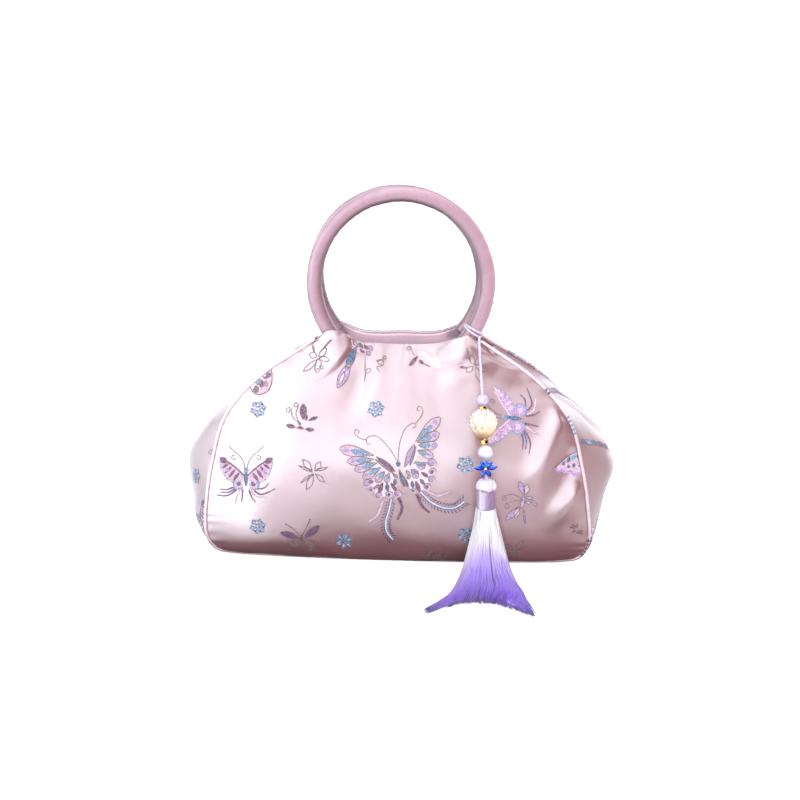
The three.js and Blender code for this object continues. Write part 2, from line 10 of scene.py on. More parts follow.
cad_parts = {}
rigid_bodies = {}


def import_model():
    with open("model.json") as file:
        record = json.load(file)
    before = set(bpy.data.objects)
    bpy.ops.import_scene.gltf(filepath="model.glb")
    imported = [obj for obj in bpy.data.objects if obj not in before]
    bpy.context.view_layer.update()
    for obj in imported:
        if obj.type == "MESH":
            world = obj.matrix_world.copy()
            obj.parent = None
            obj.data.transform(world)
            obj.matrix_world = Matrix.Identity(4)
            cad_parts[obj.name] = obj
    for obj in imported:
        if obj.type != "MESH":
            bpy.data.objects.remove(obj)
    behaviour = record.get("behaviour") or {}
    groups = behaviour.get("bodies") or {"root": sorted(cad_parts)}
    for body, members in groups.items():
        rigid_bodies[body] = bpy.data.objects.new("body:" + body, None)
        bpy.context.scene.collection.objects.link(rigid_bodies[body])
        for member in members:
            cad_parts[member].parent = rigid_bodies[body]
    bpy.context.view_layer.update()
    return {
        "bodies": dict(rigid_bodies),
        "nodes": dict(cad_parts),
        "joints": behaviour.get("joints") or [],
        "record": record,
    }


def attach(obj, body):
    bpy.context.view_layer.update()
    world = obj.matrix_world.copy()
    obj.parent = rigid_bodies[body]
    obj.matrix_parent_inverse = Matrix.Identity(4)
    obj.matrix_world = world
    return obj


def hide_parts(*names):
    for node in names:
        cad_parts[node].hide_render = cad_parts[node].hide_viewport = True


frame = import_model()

# Studio: a white sheet that runs from under the bag up a wall behind it, and a camera a little above
# the bag. Soft lamps light the bag from the front and both sides, and panels round it and on the floor
# show only in its gloss.
EYE_DISTANCE = 0.7
EYE_HEIGHT = 0.277
EYE_TURN = math.radians(4)
EYE_PITCH = math.radians(75.6)
SENSOR_WIDTH = 36
LENS = 48.69
CLIP_START = 0.01
BAG_MIDDLE = (0, 0, 0.08)
# Columns: name, place, width, height, power, tint, whether it shows in gloss
LAMPS = (
    ("key_lamp", (-0.55, -0.8, 1.35), 0.9, 0.9, 10, (1, 0.99, 1), False),
    ("front_lamp", (0.3, -1.3, 0.3), 1.0, 0.6, 10, (1, 0.98, 0.99), False),
    ("right_lamp", (1.2, -0.5, 0.6), 0.7, 0.7, 14, (1, 0.98, 1), False),
    ("left_lamp", (-1.25, -0.3, 0.5), 0.9, 0.9, 7, (0.93, 0.96, 1), True),
)
PANEL_TINT = (0.85, 0.92, 1)
# Columns: name, place, width, height, power, whether it lies on the floor and looks up
PANELS = (
    ("standing_panel", (-0.9, -0.98, 0.72), 1.7, 1.4, 28, False),
    ("upper_panel", (-0.26, -0.95, 1.05), 0.8, 0.8, 8, False),
    ("overhead_panel", (-0.06, 0.0, 1.3), 1.4, 1.4, 34, False),
    ("right_front_panel", (0.42, -1.2, 0.13), 0.45, 0.24, 1.3, False),
    ("left_back_panel", (-0.8, 1.05, 0.5), 1.2, 1.0, 16, False),
    ("right_back_panel", (0.8, 1.05, 0.5), 1.2, 1.0, 16, False),
    ("left_side_panel", (-1.2, -0.45, 0.45), 0.9, 0.9, 13, False),
    ("front_floor", (-0.32, -0.785, 0.003), 1.1, 1.23, 21.3, True),
    ("near_floor", (-0.37, -0.12, 0.003), 0.54, 0.1, 1.0, True),
    ("right_front_floor", (0.39, -0.58, 0.003), 0.45, 0.78, 1.8, True),
    ("left_floor", (-0.6, 0.28, 0.003), 0.95, 0.62, 5, True),
    ("right_floor", (0.6, 0.4, 0.003), 0.9, 1.1, 6, True),
)
ROOM_TINT = (1, 0.98, 0.985, 1)
ROOM_LIGHT = 0.2
SHEET_HALF = 4.0
SHEET_BEND_FROM = 0.35  # share of the half length where the sheet begins to rise
SHEET_RISE = 3.2  # how steeply it rises from there
SHEET_GLOW = 0.82

eye = bpy.data.objects.new("camera", bpy.data.cameras.new("camera"))
eye.data.sensor_width = SENSOR_WIDTH
eye.data.lens = LENS
eye.data.clip_start = CLIP_START
eye.location = (EYE_DISTANCE * math.sin(EYE_TURN), -EYE_DISTANCE * math.cos(EYE_TURN), EYE_HEIGHT)
eye.rotation_euler = (EYE_PITCH, 0, EYE_TURN)
bpy.context.scene.collection.objects.link(eye)
bpy.context.scene.camera = eye
bpy.context.scene.view_settings.view_transform = "Standard"


def soft_lamp(name, place, width, height, power, tint, aim=BAG_MIDDLE):
    """A soft lamp that looks at the middle of the bag, or where it is aimed."""
    lamp = bpy.data.lights.new(name, "AREA")
    lamp.shape = "RECTANGLE"
    lamp.size = width
    lamp.size_y = height
    lamp.energy = power
    lamp.color = tint
    stand = bpy.data.objects.new(name, lamp)
    stand.location = place
    way = Vector(aim) - Vector(place)
    stand.rotation_euler = way.to_track_quat("-Z", "Y").to_euler()
    bpy.context.scene.collection.objects.link(stand)
    return stand


for *settings, glossy in LAMPS:
    soft_lamp(*settings).visible_glossy = glossy
for name, place, width, height, power, lying in PANELS:
    aim = (place[0], place[1], 1) if lying else BAG_MIDDLE
    panel = soft_lamp(name, place, width, height, power, PANEL_TINT, aim)
    panel.visible_diffuse = False
    panel.visible_camera = False

room = bpy.data.worlds.new("room")
room.use_nodes = True
room_light = room.node_tree.nodes["Background"]
room_light.inputs["Color"].default_value = ROOM_TINT
room_light.inputs["Strength"].default_value = ROOM_LIGHT
room.cycles_visibility.glossy = False
bpy.context.scene.world = room


def new_finish(name, settings):
    """A material and its shader, with plain values set on the shader's own sockets."""
    finish = bpy.data.materials.new(name)
    finish.use_nodes = True
    shader = finish.node_tree.nodes["Principled BSDF"]
    for socket, value in settings.items():
        shader.inputs[socket].default_value = value
    return finish, shader


white_card, _ = new_finish("white_card", {
    "Base Color": (0.9, 0.9, 0.9, 1),
    "Roughness": 0.9,
    "Emission Color": (1, 1, 1, 1),
    "Emission Strength": SHEET_GLOW,
})
sheet_shape = bmesh.new()
bmesh.ops.create_grid(sheet_shape, x_segments=2, y_segments=40, size=1)
for vert in sheet_shape.verts:
    rise = max(vert.co.y - SHEET_BEND_FROM, 0)
    vert.co = (vert.co.x * SHEET_HALF, vert.co.y * SHEET_HALF, SHEET_RISE * rise * rise * SHEET_HALF)
sheet_mesh = bpy.data.meshes.new("white_sheet")
sheet_shape.to_mesh(sheet_mesh)
sheet_shape.free()
sheet_mesh.shade_smooth()
sheet_mesh.materials.append(white_card)
white_sheet = bpy.data.objects.new("white_sheet", sheet_mesh)
white_sheet.visible_diffuse = False
white_sheet.visible_glossy = False
bpy.context.scene.collection.objects.link(white_sheet)


# Base: a flat stiffened panel of the same satin as the body, cut to the two bottom seams
# and sewn into them. The bag stands on it.
MM = 0.001  # the bag's own sizes are in millimetres
WALL = 2.0  # of the padded satin
PANEL_LENGTH = 160.0  # middle of a panel from the bottom seam to the mouth
BELLY_POWER = 2.4  # how the belly falls off towards the seams
BASE_HALF_WIDTH = 102.3
BASE_MIDDLE_HALF_DEPTH = 41.0
BASE_END_HALF_DEPTH = 37.0


def colour(red, green, blue):
    """A screen colour, 0 to 255, as the light it stands for."""
    def light(part):
        share = part / 255
        return share / 12.92 if share <= 0.04045 else ((share + 0.055) / 1.055) ** 2.4
    return (light(red), light(green), light(blue), 1)


def node(finish, kind, **inputs):
    """A node with its input values set by name."""
    made = finish.node_tree.nodes.new(kind)
    for socket, value in inputs.items():
        made.inputs[socket.replace("_", " ")].default_value = value
    return made


def join(finish, source, output, target, socket):
    finish.node_tree.links.new(source.outputs[output], target.inputs[socket])


def pattern(finish, kind, place, output="Object", **inputs):
    """A texture or mapping node that reads another node's coordinates."""
    made = node(finish, kind, **inputs)
    join(finish, place, output, made, "Vector")
    return made


def tones(finish, source, target, socket, *stops):
    """A ramp of colours over a value, each stop a place and a colour, that feeds a target's socket."""
    ramp = node(finish, "ShaderNodeValToRGB")
    band = ramp.color_ramp
    while len(band.elements) < len(stops):
        band.elements.new(0.5)
    for element, (place, tone) in zip(band.elements, stops):
        element.position = place
        element.color = tone
    join(finish, source, "Fac", ramp, "Fac")
    join(finish, ramp, "Color", target, socket)


def relief(finish, source, output, strength, depth=0.0002, under=None):
    """Raises a surface by a value, over the relief that lies under it."""
    bump = node(finish, "ShaderNodeBump", Strength=strength, Distance=depth)
    join(finish, source, output, bump, "Height")
    if under:
        join(finish, under, "Normal", bump, "Normal")
    return bump


def satin(name, deep, light):
    """Satin: long floats one way, so its gloss is drawn out across them, over a fine twill."""
    finish, shader = new_finish(name, {
        "Roughness": 0.31,
        "IOR": 2.0,
        "Specular IOR Level": 1.0,
        "Anisotropic": 0.45,
        "Anisotropic Rotation": 0.25,
        "Sheen Weight": 0.12,
        "Sheen Roughness": 0.35,
        "Sheen Tint": colour(250, 240, 248),
    })
    place = node(finish, "ShaderNodeTexCoord")
    blotch = pattern(finish, "ShaderNodeTexNoise", place, Scale=22.0, Detail=4.0, Roughness=0.6)
    tones(finish, blotch, shader, "Base Color", (0.3, deep), (0.7, light))
    turn = pattern(finish, "ShaderNodeMapping", place, "UV", Rotation=(0, 0, math.radians(58)))
    twill = pattern(finish, "ShaderNodeTexWave", turn, "Vector", Scale=150.0, Distortion=1.2, Detail=2.0)
    slub = pattern(finish, "ShaderNodeTexNoise", place, Scale=900.0, Detail=2.0)
    weave = relief(finish, twill, "Fac", 0.28)
    grain = relief(finish, slub, "Fac", 0.2, under=weave)
    join(finish, grain, "Normal", shader, "Normal")
    floats = node(finish, "ShaderNodeTangent")
    floats.direction_type = "UV_MAP"
    floats.uv_map = "cloth"
    join(finish, floats, "Tangent", shader, "Tangent")
    return finish


def smooth(low, high, value):
    """A soft step from 0 at low to 1 at high."""
    share = np.clip((value - low) / (high - low), 0, 1)
    return share * share * (3 - 2 * share)


def mix(start, end, share):
    return start + (end - start) * share


def cloth_grid(shape, columns, rows, surface):
    """A grid laid on a surface of two shares from 0 to 1, which gives points in millimetres."""
    made = bmesh.ops.create_grid(shape, x_segments=columns, y_segments=rows, size=1, calc_uvs=True)
    flat = np.array([vert.co for vert in made["verts"]])
    points = surface((flat[:, 0] + 1) / 2, (flat[:, 1] + 1) / 2) * MM
    for vert, point in zip(made["verts"], points):
        vert.co = point
    return made["verts"]


def new_shape():
    shape = bmesh.new()
    shape.loops.layers.uv.new("cloth")
    return shape


def finished_piece(name, slot, shape, *finishes):
    """The shape as a smooth object that rides on the bag, with its finishes in order."""
    mesh = bpy.data.meshes.new(name)
    shape.to_mesh(mesh)
    shape.free()
    mesh.shade_smooth()
    for finish in finishes:
        mesh.materials.append(finish)
    piece = bpy.data.objects.new(name, mesh)
    bpy.context.scene.collection.objects.link(piece)
    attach(piece, "root")
    return piece


def thicken(piece, wall):
    """Gives a sheet its wall, on the inner side of its surface."""
    solid = piece.modifiers.new("wall", "SOLIDIFY")
    solid.thickness = wall * MM
    solid.offset = -1
    solid.use_even_offset = False


pink_satin = satin("pink_satin", colour(134, 83, 87), colour(149, 98, 103))


def base_surface(across, up):
    x = BASE_HALF_WIDTH * (2 * across - 1)
    half = mix(BASE_MIDDLE_HALF_DEPTH, BASE_END_HALF_DEPTH, np.abs(2 * across - 1) ** BELLY_POWER)
    return np.stack([x, half * (2 * up - 1), np.full_like(x, WALL)], -1)


base_shape = new_shape()
cloth_grid(base_shape, columns=60, rows=24, surface=base_surface)
base = finished_piece("base", "satin_brocade", base_shape, pink_satin)
thicken(base, WALL)
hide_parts("base_panel")


# Front panel: padded pink satin with woven butterflies and medallions. It is gathered at the mouth,
# swells to a belly and turns under at the bottom, and is sewn to the gussets with a piped seam.
SECTION_NAMES = ("share", "seam_x", "seam_y", "seam_z", "belly_y", "belly_z", "side_x", "side_z")
SECTIONS = np.array([
    (0.0, 103.0, 39.0, 1.4, 43.0, 0.8, 104.0, 1.0),
    (0.075, 117.5, 43.0, 5.5, 51.0, 5.0, 128.0, 4.0),
    (0.18, 123.5, 46.0, 18.0, 56.5, 20.0, 138.0, 17.0),
    (0.335, 122.0, 46.5, 42.0, 58.5, 45.0, 142.5, 42.0),
    (0.49, 118.0, 43.5, 66.0, 56.5, 70.0, 140.5, 65.0),
    (0.675, 109.5, 36.0, 95.0, 48.0, 98.0, 119.5, 93.0),
    (0.84, 88.0, 27.5, 119.0, 35.0, 121.0, 79.0, 117.5),
    (1.0, 53.0, 22.5, 142.5, 16.0, 139.0, 42.0, 141.5),
])
BACK_DROP = 4.5  # the back's shoulders lie this much lower than the front's
SEAM_TUCK = 0.7  # the cloth ends this far from the seam line, inside the piping
GATHERED_FROM = 0.86  # share of the height where the gathers at the mouth begin
GATHER_HEIGHT = 0.12
SLACK_HEIGHT = 0.35  # of the loose waves all over the cloth
PUCKER_HEIGHT = 0.32  # of the puckers beside the piping
PUCKER_REACH = 5.0
FOLD_END = 9.0  # folds flatten out this near the piping
FAR_AWAY = 1e9
# Columns: from x, from share, to x, to share, height, spread, end spread, open at the mouth
FRONT_FOLDS = (
    (-19, 0.93, -33, 0.58, -3.0, 8, 11, 0),
    (-21, 1.0, -23, 0.7, -0.5, 4, 8, 1),
    (-12, 1.0, -13, 0.66, 0.45, 5, 7, 1),
    (-4, 1.0, -5, 0.7, -0.35, 4, 7, 1),
    (14, 0.96, 15, 0.6, -0.5, 5, 8, 0),
    (23, 0.9, 27, 0.62, -0.8, 6, 10, 0),
    (33, 0.9, 44, 0.78, 1.0, 6, 8, 0),
    (47, 0.93, 58, 0.7, 1.5, 10, 13, 0),
    (54, 0.9, 92, 0.74, -1.2, 11, 13, 0),
    (111, 0.78, 82, 0.34, 4.4, 7, 8.5, 0),
    (119, 0.58, 94, 0.34, -2.2, 7, 9, 0),
    (122, 0.45, 93, 0.22, 3.4, 6, 8, 0),
    (-84, 0.8, -92, 0.4, -1.2, 14, 20, 0),
)
# Overlapping pleats: height, reach, then spots on the line where the raised cloth ends, to its right
FRONT_TUCKS = (
    (2.6, 12, -33 + 162j, -30 + 158.4j, -29.5 + 152.4j, -33 + 147j, -37.5 + 141.5j, -46 + 134j, -55 + 127j),
    (1.8, 9, 48 + 147j, 38 + 143j, 32.5 + 142j, 27.5 + 142.4j, 22.5 + 145.2j, 17.5 + 151.2j, 13 + 156j,
     9 + 159.6j),
    (1.7, 10, 33 + 162j, 39 + 155.6j, 48.5 + 152.4j, 64.5 + 146.4j, 78 + 140.4j, 91 + 130.4j),
)


def section_at(share):
    """The body's section at each height, by a smooth curve through the rows of the table."""
    shares = SECTIONS[:, 0]
    last = len(shares) - 1
    order = np.arange(last + 1)
    before = np.maximum(order - 1, 0)
    after = np.minimum(order + 1, last)
    slopes = (SECTIONS[after] - SECTIONS[before]) / (shares[after] - shares[before])[:, None]
    row = np.clip(np.searchsorted(shares, share) - 1, 0, last - 1)
    span = (shares[row + 1] - shares[row])[..., None]
    part = (share - shares[row])[..., None] / span
    values = mix(SECTIONS[row], SECTIONS[row + 1], part * part * (3 - 2 * part))
    values = values + slopes[row] * span * part * (1 - part) ** 2
    values = values - slopes[row + 1] * span * part * part * (1 - part)
    return dict(zip(SECTION_NAMES, np.moveaxis(values, -1, 0)))


def beside(off_x, off_y, line_x, line_y):
    """How far along a line, as a share, and how far from it spots lie, by their offset from its start."""
    along = np.clip((off_x * line_x + off_y * line_y) / (line_x**2 + line_y**2), 0, 1)
    return along, np.hypot(off_x - along * line_x, off_y - along * line_y)


def fold_height(fold, x, share):
    """One fold: a rounded ridge or valley along its line, dying away at its end."""
    from_x, from_share, to_x, to_share, height, spread, end_spread, opened = fold
    off_y = (share - from_share) * PANEL_LENGTH
    along, away = beside(x - from_x, off_y, to_x - from_x, (to_share - from_share) * PANEL_LENGTH)
    rise = 1 if opened else smooth(0, 0.25, along)
    fall = 1 - smooth(0.5, 1, along)
    return height * rise * fall * np.exp(-((away / mix(spread, end_spread, along)) ** 2))


def tuck_height(tuck, x, share):
    """An overlapping pleat: raised cloth that drops sharply along a line and lies over its neighbour."""
    height, reach, *line = tuck
    spot = x + 1j * share * PANEL_LENGTH
    nearest = np.full(np.shape(x), FAR_AWAY)
    inside = np.zeros(np.shape(x))
    place = np.zeros(np.shape(x))
    for k, (start, end) in enumerate(zip(line, line[1:])):
        off = (spot - start) / (end - start)
        along = np.clip(off.real, 0, 1)
        away = np.abs(off - along) * abs(end - start)
        closer = away < nearest
        nearest = np.where(closer, away, nearest)
        inside = np.where(closer, np.where(off.imag < 0, away, -away), inside)
        place = np.where(closer, (k + along) / (len(line) - 1), place)
    raised = smooth(-1, 2.2, inside) * np.exp(-((np.maximum(inside - 2.2, 0) / reach) ** 2))
    sunk = -0.35 * smooth(-10, -1, inside) * (1 - smooth(-1, 0.4, inside))
    return height * (raised + sunk) * smooth(0, 0.1, place) * (1 - smooth(0.5, 1, place))


def normals_of(surface, across, up, step_across, step_up):
    """The way a surface faces, from points close on either side."""
    along = surface(across + step_across, up) - surface(across - step_across, up)
    rising = surface(across, up + step_up) - surface(across, up - step_up)
    facing = np.cross(along, rising)
    return facing / np.linalg.norm(facing, axis=-1, keepdims=True)


def panel_form(side, feet, spread, lifts, swell, rim_lift):
    """A panel before its folds: side is -1 for the front and 1 for the back, flat x as seen from outside.

    Its rim swells and lifts over the handles' two feet, and may be lifted all along.
    """
    def form(flat_x, share):
        row = section_at(share)
        x = -side * flat_x
        out = np.abs(x) / row["seam_x"]
        rim = smooth(GATHERED_FROM, 1, share) * smooth(0, 8, row["seam_x"] * (1 - out))
        foot = rim * np.exp(-(((x - np.where(x < 0, feet[0], feet[1])) / spread) ** 2))
        depth = mix(row["belly_y"], row["seam_y"], out**BELLY_POWER) + swell * foot
        drop = BACK_DROP * smooth(0.6, 1, share) * (side > 0)
        lift = np.where(x < 0, lifts[0], lifts[1])
        z = mix(row["belly_z"] + rim_lift * rim, row["seam_z"] - drop, out * out) + lift * foot
        return np.stack([x, side * depth, z], -1)
    return form


def panel_cloth(side, form, folds, tucks=()):
    """The panel with its folds, small gathers at the mouth and puckers along the piping."""
    def cloth(flat_x, share):
        row = section_at(share)
        to_seam = row["seam_x"] - np.abs(flat_x)
        height = sum(fold_height(fold, -side * flat_x, share) for fold in folds)
        height = height + sum(tuck_height(tuck, -side * flat_x, share) for tuck in tucks)
        height = height * (1 - smooth(0.9, 1, share) * smooth(26, 38, np.abs(flat_x)))
        gathers = np.sin(1.25 * flat_x + 1.3 * np.sin(0.31 * flat_x + 4 * share))
        gathers = gathers * smooth(GATHERED_FROM, 1, share) * (0.6 + 0.4 * np.sin(0.17 * flat_x))
        height = height + GATHER_HEIGHT * gathers
        length = share * PANEL_LENGTH
        slack = np.sin(0.11 * flat_x + 0.07 * length) * np.sin(0.05 * flat_x - 0.13 * length + 1)
        height = height + SLACK_HEIGHT * slack
        puckers = np.sin(0.9 * length + 1.4 * np.sin(0.21 * length + 0.02 * flat_x))
        height = height * smooth(0, FOLD_END, to_seam)
        near_seam = np.exp(-to_seam / PUCKER_REACH) * smooth(0, PUCKER_REACH / 2, to_seam)
        height = height + PUCKER_HEIGHT * puckers * near_seam
        facing = normals_of(form, flat_x, share, 0.5, 0.003)
        return form(flat_x, share) + facing * height[..., None]
    return cloth


def half_width(share):
    """Half a panel's width, less its tuck square to the slanting seam."""
    row = section_at(share)
    above = section_at(share + 0.005)
    below = section_at(share - 0.005)
    run = above["seam_x"] - below["seam_x"]
    rise = np.hypot(above["seam_y"] - below["seam_y"], above["seam_z"] - below["seam_z"])
    return row["seam_x"] - SEAM_TUCK * np.hypot(run, rise) / rise


def laid_panel(cloth):
    """The panel's cloth as a surface of two shares, from seam to seam and from bottom to mouth."""
    def surface(across, up):
        share = mix(SEAM_TUCK / PANEL_LENGTH, 1, up)
        return cloth(half_width(share) * (2 * across - 1), share)
    return surface


front_form = panel_form(side=-1, feet=(-40, 44.3), spread=12.5, lifts=(8.0, 5.0), swell=6.4, rim_lift=0)
front_cloth = panel_cloth(-1, front_form, FRONT_FOLDS, FRONT_TUCKS)
front_shape = new_shape()
cloth_grid(front_shape, columns=230, rows=150, surface=laid_panel(front_cloth))
front = finished_piece("front", "satin_brocade", front_shape, pink_satin)
thicken(front, WALL)
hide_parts("front_panel")


# Brocade on the front panel: woven floats of coloured rayon that lie on the satin, drawn flat in
# millimetres from the middle and up the cloth, then laid on it with the folds.
THREADS = ("blue", "slate", "lilac", "plum", "pink", "tan", "pale")
THREAD_TONES = {
    "blue": ((84, 112, 146), (122, 150, 182), (176, 194, 212)),
    "slate": ((52, 72, 104), (84, 108, 140), (138, 156, 182)),
    "lilac": ((146, 114, 172), (176, 148, 198), (212, 194, 222)),
    "plum": ((84, 50, 80), (116, 80, 110), (160, 126, 152)),
    "pink": ((190, 152, 174), (214, 182, 202), (236, 214, 226)),
    "tan": ((104, 80, 82), (132, 108, 110), (164, 142, 142)),
    "pale": ((216, 190, 208), (236, 218, 232), (248, 238, 246)),
}
LAYER = 0.06  # thickness of one layer of floats
LINE = 0.52  # width of an outline
FLOATS_FROM = 0.01  # shares of the panel's height between which floats are laid
FLOATS_TO = 0.994


def rayon(name, deep, main, light):
    """Floats of a coloured thread: short lengths of slightly different tone, with a low gloss."""
    finish, shader = new_finish(name, {
        "Roughness": 0.5,
        "Specular IOR Level": 0.25,
        "Sheen Weight": 0.1,
    })
    place = node(finish, "ShaderNodeTexCoord")
    stretch = pattern(finish, "ShaderNodeMapping", place, Scale=(1.0, 1.0, 2.2))
    speckle = pattern(finish, "ShaderNodeTexNoise", stretch, "Vector", Scale=1100.0, Detail=2.0)
    tones(finish, speckle, shader, "Base Color", (0.36, deep), (0.5, main), (0.66, light))
    join(finish, relief(finish, speckle, "Fac", 0.35), "Normal", shader, "Normal")
    return finish


rayons = [rayon("rayon_" + name, *[colour(*tone) for tone in THREAD_TONES[name]]) for name in THREADS]


def place_threads(made, spots, thread, layer):
    """Moves drawn vertices to their spots, as complex numbers, and gives their faces the thread."""
    for vert, spot in zip(made["verts"], spots):
        vert.co = (spot.real, spot.imag, LAYER * (1.5 + layer))
    for face in {face for vert in made["verts"] for face in vert.link_faces}:
        face.material_index = THREADS.index(thread)


def leaf_spot(start, end, width, along, across, fat, full):
    """A spot of a leaf, by its shares along the leaf and across half of its width."""
    square = 1j * (end - start) / abs(end - start)
    half = width / 2 * max(math.sin(math.pi * along**fat), 0) ** full
    return start + (end - start) * along + square * half * across


def leaf(shape, start, end, width, thread, layer=0, fat=1.0, full=0.8):
    """A leaf of floats from one spot to another; fat above 1 moves its belly to the end."""
    made = bmesh.ops.create_grid(shape, x_segments=10, y_segments=2, size=1)
    spots = [leaf_spot(start, end, width, (vert.co.x + 1) / 2, vert.co.y, fat, full)
             for vert in made["verts"]]
    place_threads(made, spots, thread, layer)


def dot(shape, centre, radius, thread, layer=0):
    made = bmesh.ops.create_circle(shape, cap_ends=True, cap_tris=True, segments=10, radius=radius)
    spots = [centre + complex(vert.co.x, vert.co.y) for vert in made["verts"]]
    place_threads(made, spots, thread, layer)


def bend(before, start, end, after, share):
    """A spot between two others on a smooth line, led by the spots before and after them."""
    return (2 * start + (end - before) * share
            + (2 * before - 5 * start + 4 * end - after) * share * share
            + (3 * start - before - 3 * end + after) * share**3) / 2


def smooth_path(points, closed=False):
    """Spots about a millimetre apart on a smooth line through the given ones."""
    points = list(points)
    ends = (points[-1], points[0]) if closed else (2 * points[0] - points[1], 2 * points[-1] - points[-2])
    chain = [ends[0], *points, *([points[0], points[1]] if closed else [ends[1]])]
    path = []
    for before, start, end, after in zip(chain, chain[1:], chain[2:], chain[3:]):
        count = max(2, round(abs(end - start)))
        path += [bend(before, start, end, after, k / count) for k in range(count)]
    path.append(points[0] if closed else points[-1])
    return path


def line(shape, points, width, thread, layer=2, taper=0.0, closed=False):
    """A narrow band of floats along a smooth line, thinner at its end by the taper."""
    path = smooth_path(points, closed)
    last = len(path) - 1
    made = bmesh.ops.create_grid(shape, x_segments=last, y_segments=1, size=1)
    spots = []
    for vert in made["verts"]:
        k = round((vert.co.x + 1) / 2 * last)
        ahead = path[min(k + 1, last)] - path[max(k - 1, 0)]
        square = 1j * ahead / max(abs(ahead), 1e-9)
        spots.append(path[k] + square * vert.co.y * width / 2 * (1 - taper * k / last))
    place_threads(made, spots, thread, layer)


def leaf_edge(shape, start, end, width, thread, layer=2, fat=1.0, full=0.8):
    """The outline of a leaf."""
    rim = [leaf_spot(start, end, width, k / 7, 1, fat, full) for k in range(7)]
    rim += [leaf_spot(start, end, width, 1 - k / 7, -1, fat, full) for k in range(7)]
    line(shape, rim, LINE, thread, layer, closed=True)


def placed(spot, size=1.0, turn=0.0, mirror=False):
    """Puts a motif's own spots on the cloth."""
    spin = cmath.rect(size, math.radians(turn))
    return lambda x, y: spot + spin * complex(-x if mirror else x, y)


def curl(at, x, y, radius, start, sweep):
    """Spots of a closing curl round a centre, angles in degrees."""
    turns = [math.radians(start + sweep * k / 8) for k in range(9)]
    return [at(x + radius * (1 - 0.07 * k) * math.cos(turn), y + radius * (1 - 0.07 * k) * math.sin(turn))
            for k, turn in enumerate(turns)]


def curled(at, bend_x, bend_y, end_x, end_y, radius):
    """Spots of a feeler from its bend into a curl round its end."""
    start = math.degrees(math.atan2(bend_y - end_y, bend_x - end_x)) + 55
    return [at(bend_x, bend_y), *curl(at, end_x, end_y, radius, start, 400)]


def field(shape, first, second, thread, layer=0):
    """Floats that fill the cloth between two smooth lines of spots."""
    made = bmesh.ops.create_grid(shape, x_segments=12, y_segments=4, size=1)
    lines = [smooth_path(first), smooth_path(second)]
    spots = []
    for vert in made["verts"]:
        along = (vert.co.x + 1) / 2
        ends = [path[round(along * (len(path) - 1))] for path in lines]
        spots.append(mix(ends[0], ends[1], (vert.co.y + 1) / 2))
    place_threads(made, spots, thread, layer)


def leaves(shape, at, size, rows, full=0.8):
    """Outlined leaves of floats, by rows of start x, start y, end x, end y, width and thread."""
    for start_x, start_y, end_x, end_y, width, thread in rows:
        start = at(start_x, start_y)
        end = at(end_x, end_y)
        if thread != "none":
            leaf(shape, start, end, width * size, thread, 1, fat=1.15, full=full)
        leaf_edge(shape, start, end, width * size, "tan", 3, fat=1.15, full=full)


BLOSSOM_REACH = 3.7  # of a medallion's blossoms from its middle
HEART_REACH = 1.35  # of the loose floats round its middle
# Dots of one blossom of a medallion. Columns: x, y, radius, thread
BLOSSOM = (
    (0.1, 1.15, 0.98, "blue"), (-1.15, 0.1, 0.92, "slate"), (1.1, 0.0, 0.9, "blue"), (0.0, -1.2, 0.8, "blue"),
    (0.0, 0.0, 0.5, "pale"),
)


def medallion(shape, spot, size=1.0, turn=15):
    """A round of six small blossoms with loose floats in its heart."""
    at = placed(spot, size, turn)
    for k in range(6):
        ahead = cmath.rect(1, math.radians(60 * k + 8 * math.sin(5 * k)))
        for x, y, radius, thread in BLOSSOM:
            place = ahead * complex(BLOSSOM_REACH + y, x)
            dot(shape, at(place.real, place.imag), radius * size, thread)
        heart = ahead * cmath.rect(HEART_REACH, 0.5)
        dot(shape, at(heart.real, heart.imag), 0.62 * size, "slate" if k % 2 else "blue")


# Fingers of the great butterfly's fore wings. Columns: base x, base y, tip x, tip y, width
GREAT_FINGERS = (
    (-16.0, 12.2, -37.6, 16.1, 6.8),
    (-16.0, 9.6, -32.8, 7.9, 5.4),
    (-14.0, 7.4, -28.0, 2.7, 5.4),
    (-11.4, 4.6, -22.8, -2.1, 5.2),
    (-9.0, 2.4, -14.6, -4.7, 4.4),
    (-6.2, 1.4, -8.3, -4.7, 3.6),
    (10.0, 21.4, 24.9, 36.9, 6.4),
    (11.0, 20.8, 24.6, 26.8, 6.0),
    (11.4, 19.0, 23.5, 19.2, 5.4),
    (11.0, 16.0, 21.1, 12.0, 5.0),
    (9.6, 8.6, 16.0, 4.8, 4.2),
    (7.4, 4.0, 11.5, -1.6, 3.8),
)
# Its wings' fields, each between two lines of spots
GREAT_FIELDS = (
    (((-2.0, 3.4), (-10.0, 9.4), (-17.5, 14.6)), ((-2.0, 0.0), (-9.6, 1.6), (-17.5, 8.0))),
    (((3.0, 4.6), (6.4, 14.0), (11.0, 23.0)), ((4.6, 2.4), (10.4, 10.0), (13.0, 18.6))),
    (((-2.4, 1.4), (-13.0, -2.0), (-21.0, -4.2)), ((-1.4, -6.0), (-3.4, -12.6), (-13.6, -13.8))),
    (((4.6, 4.4), (13.0, 9.0), (20.6, 8.6)), ((3.6, -6.4), (11.0, -9.6), (18.6, -7.2))),
)
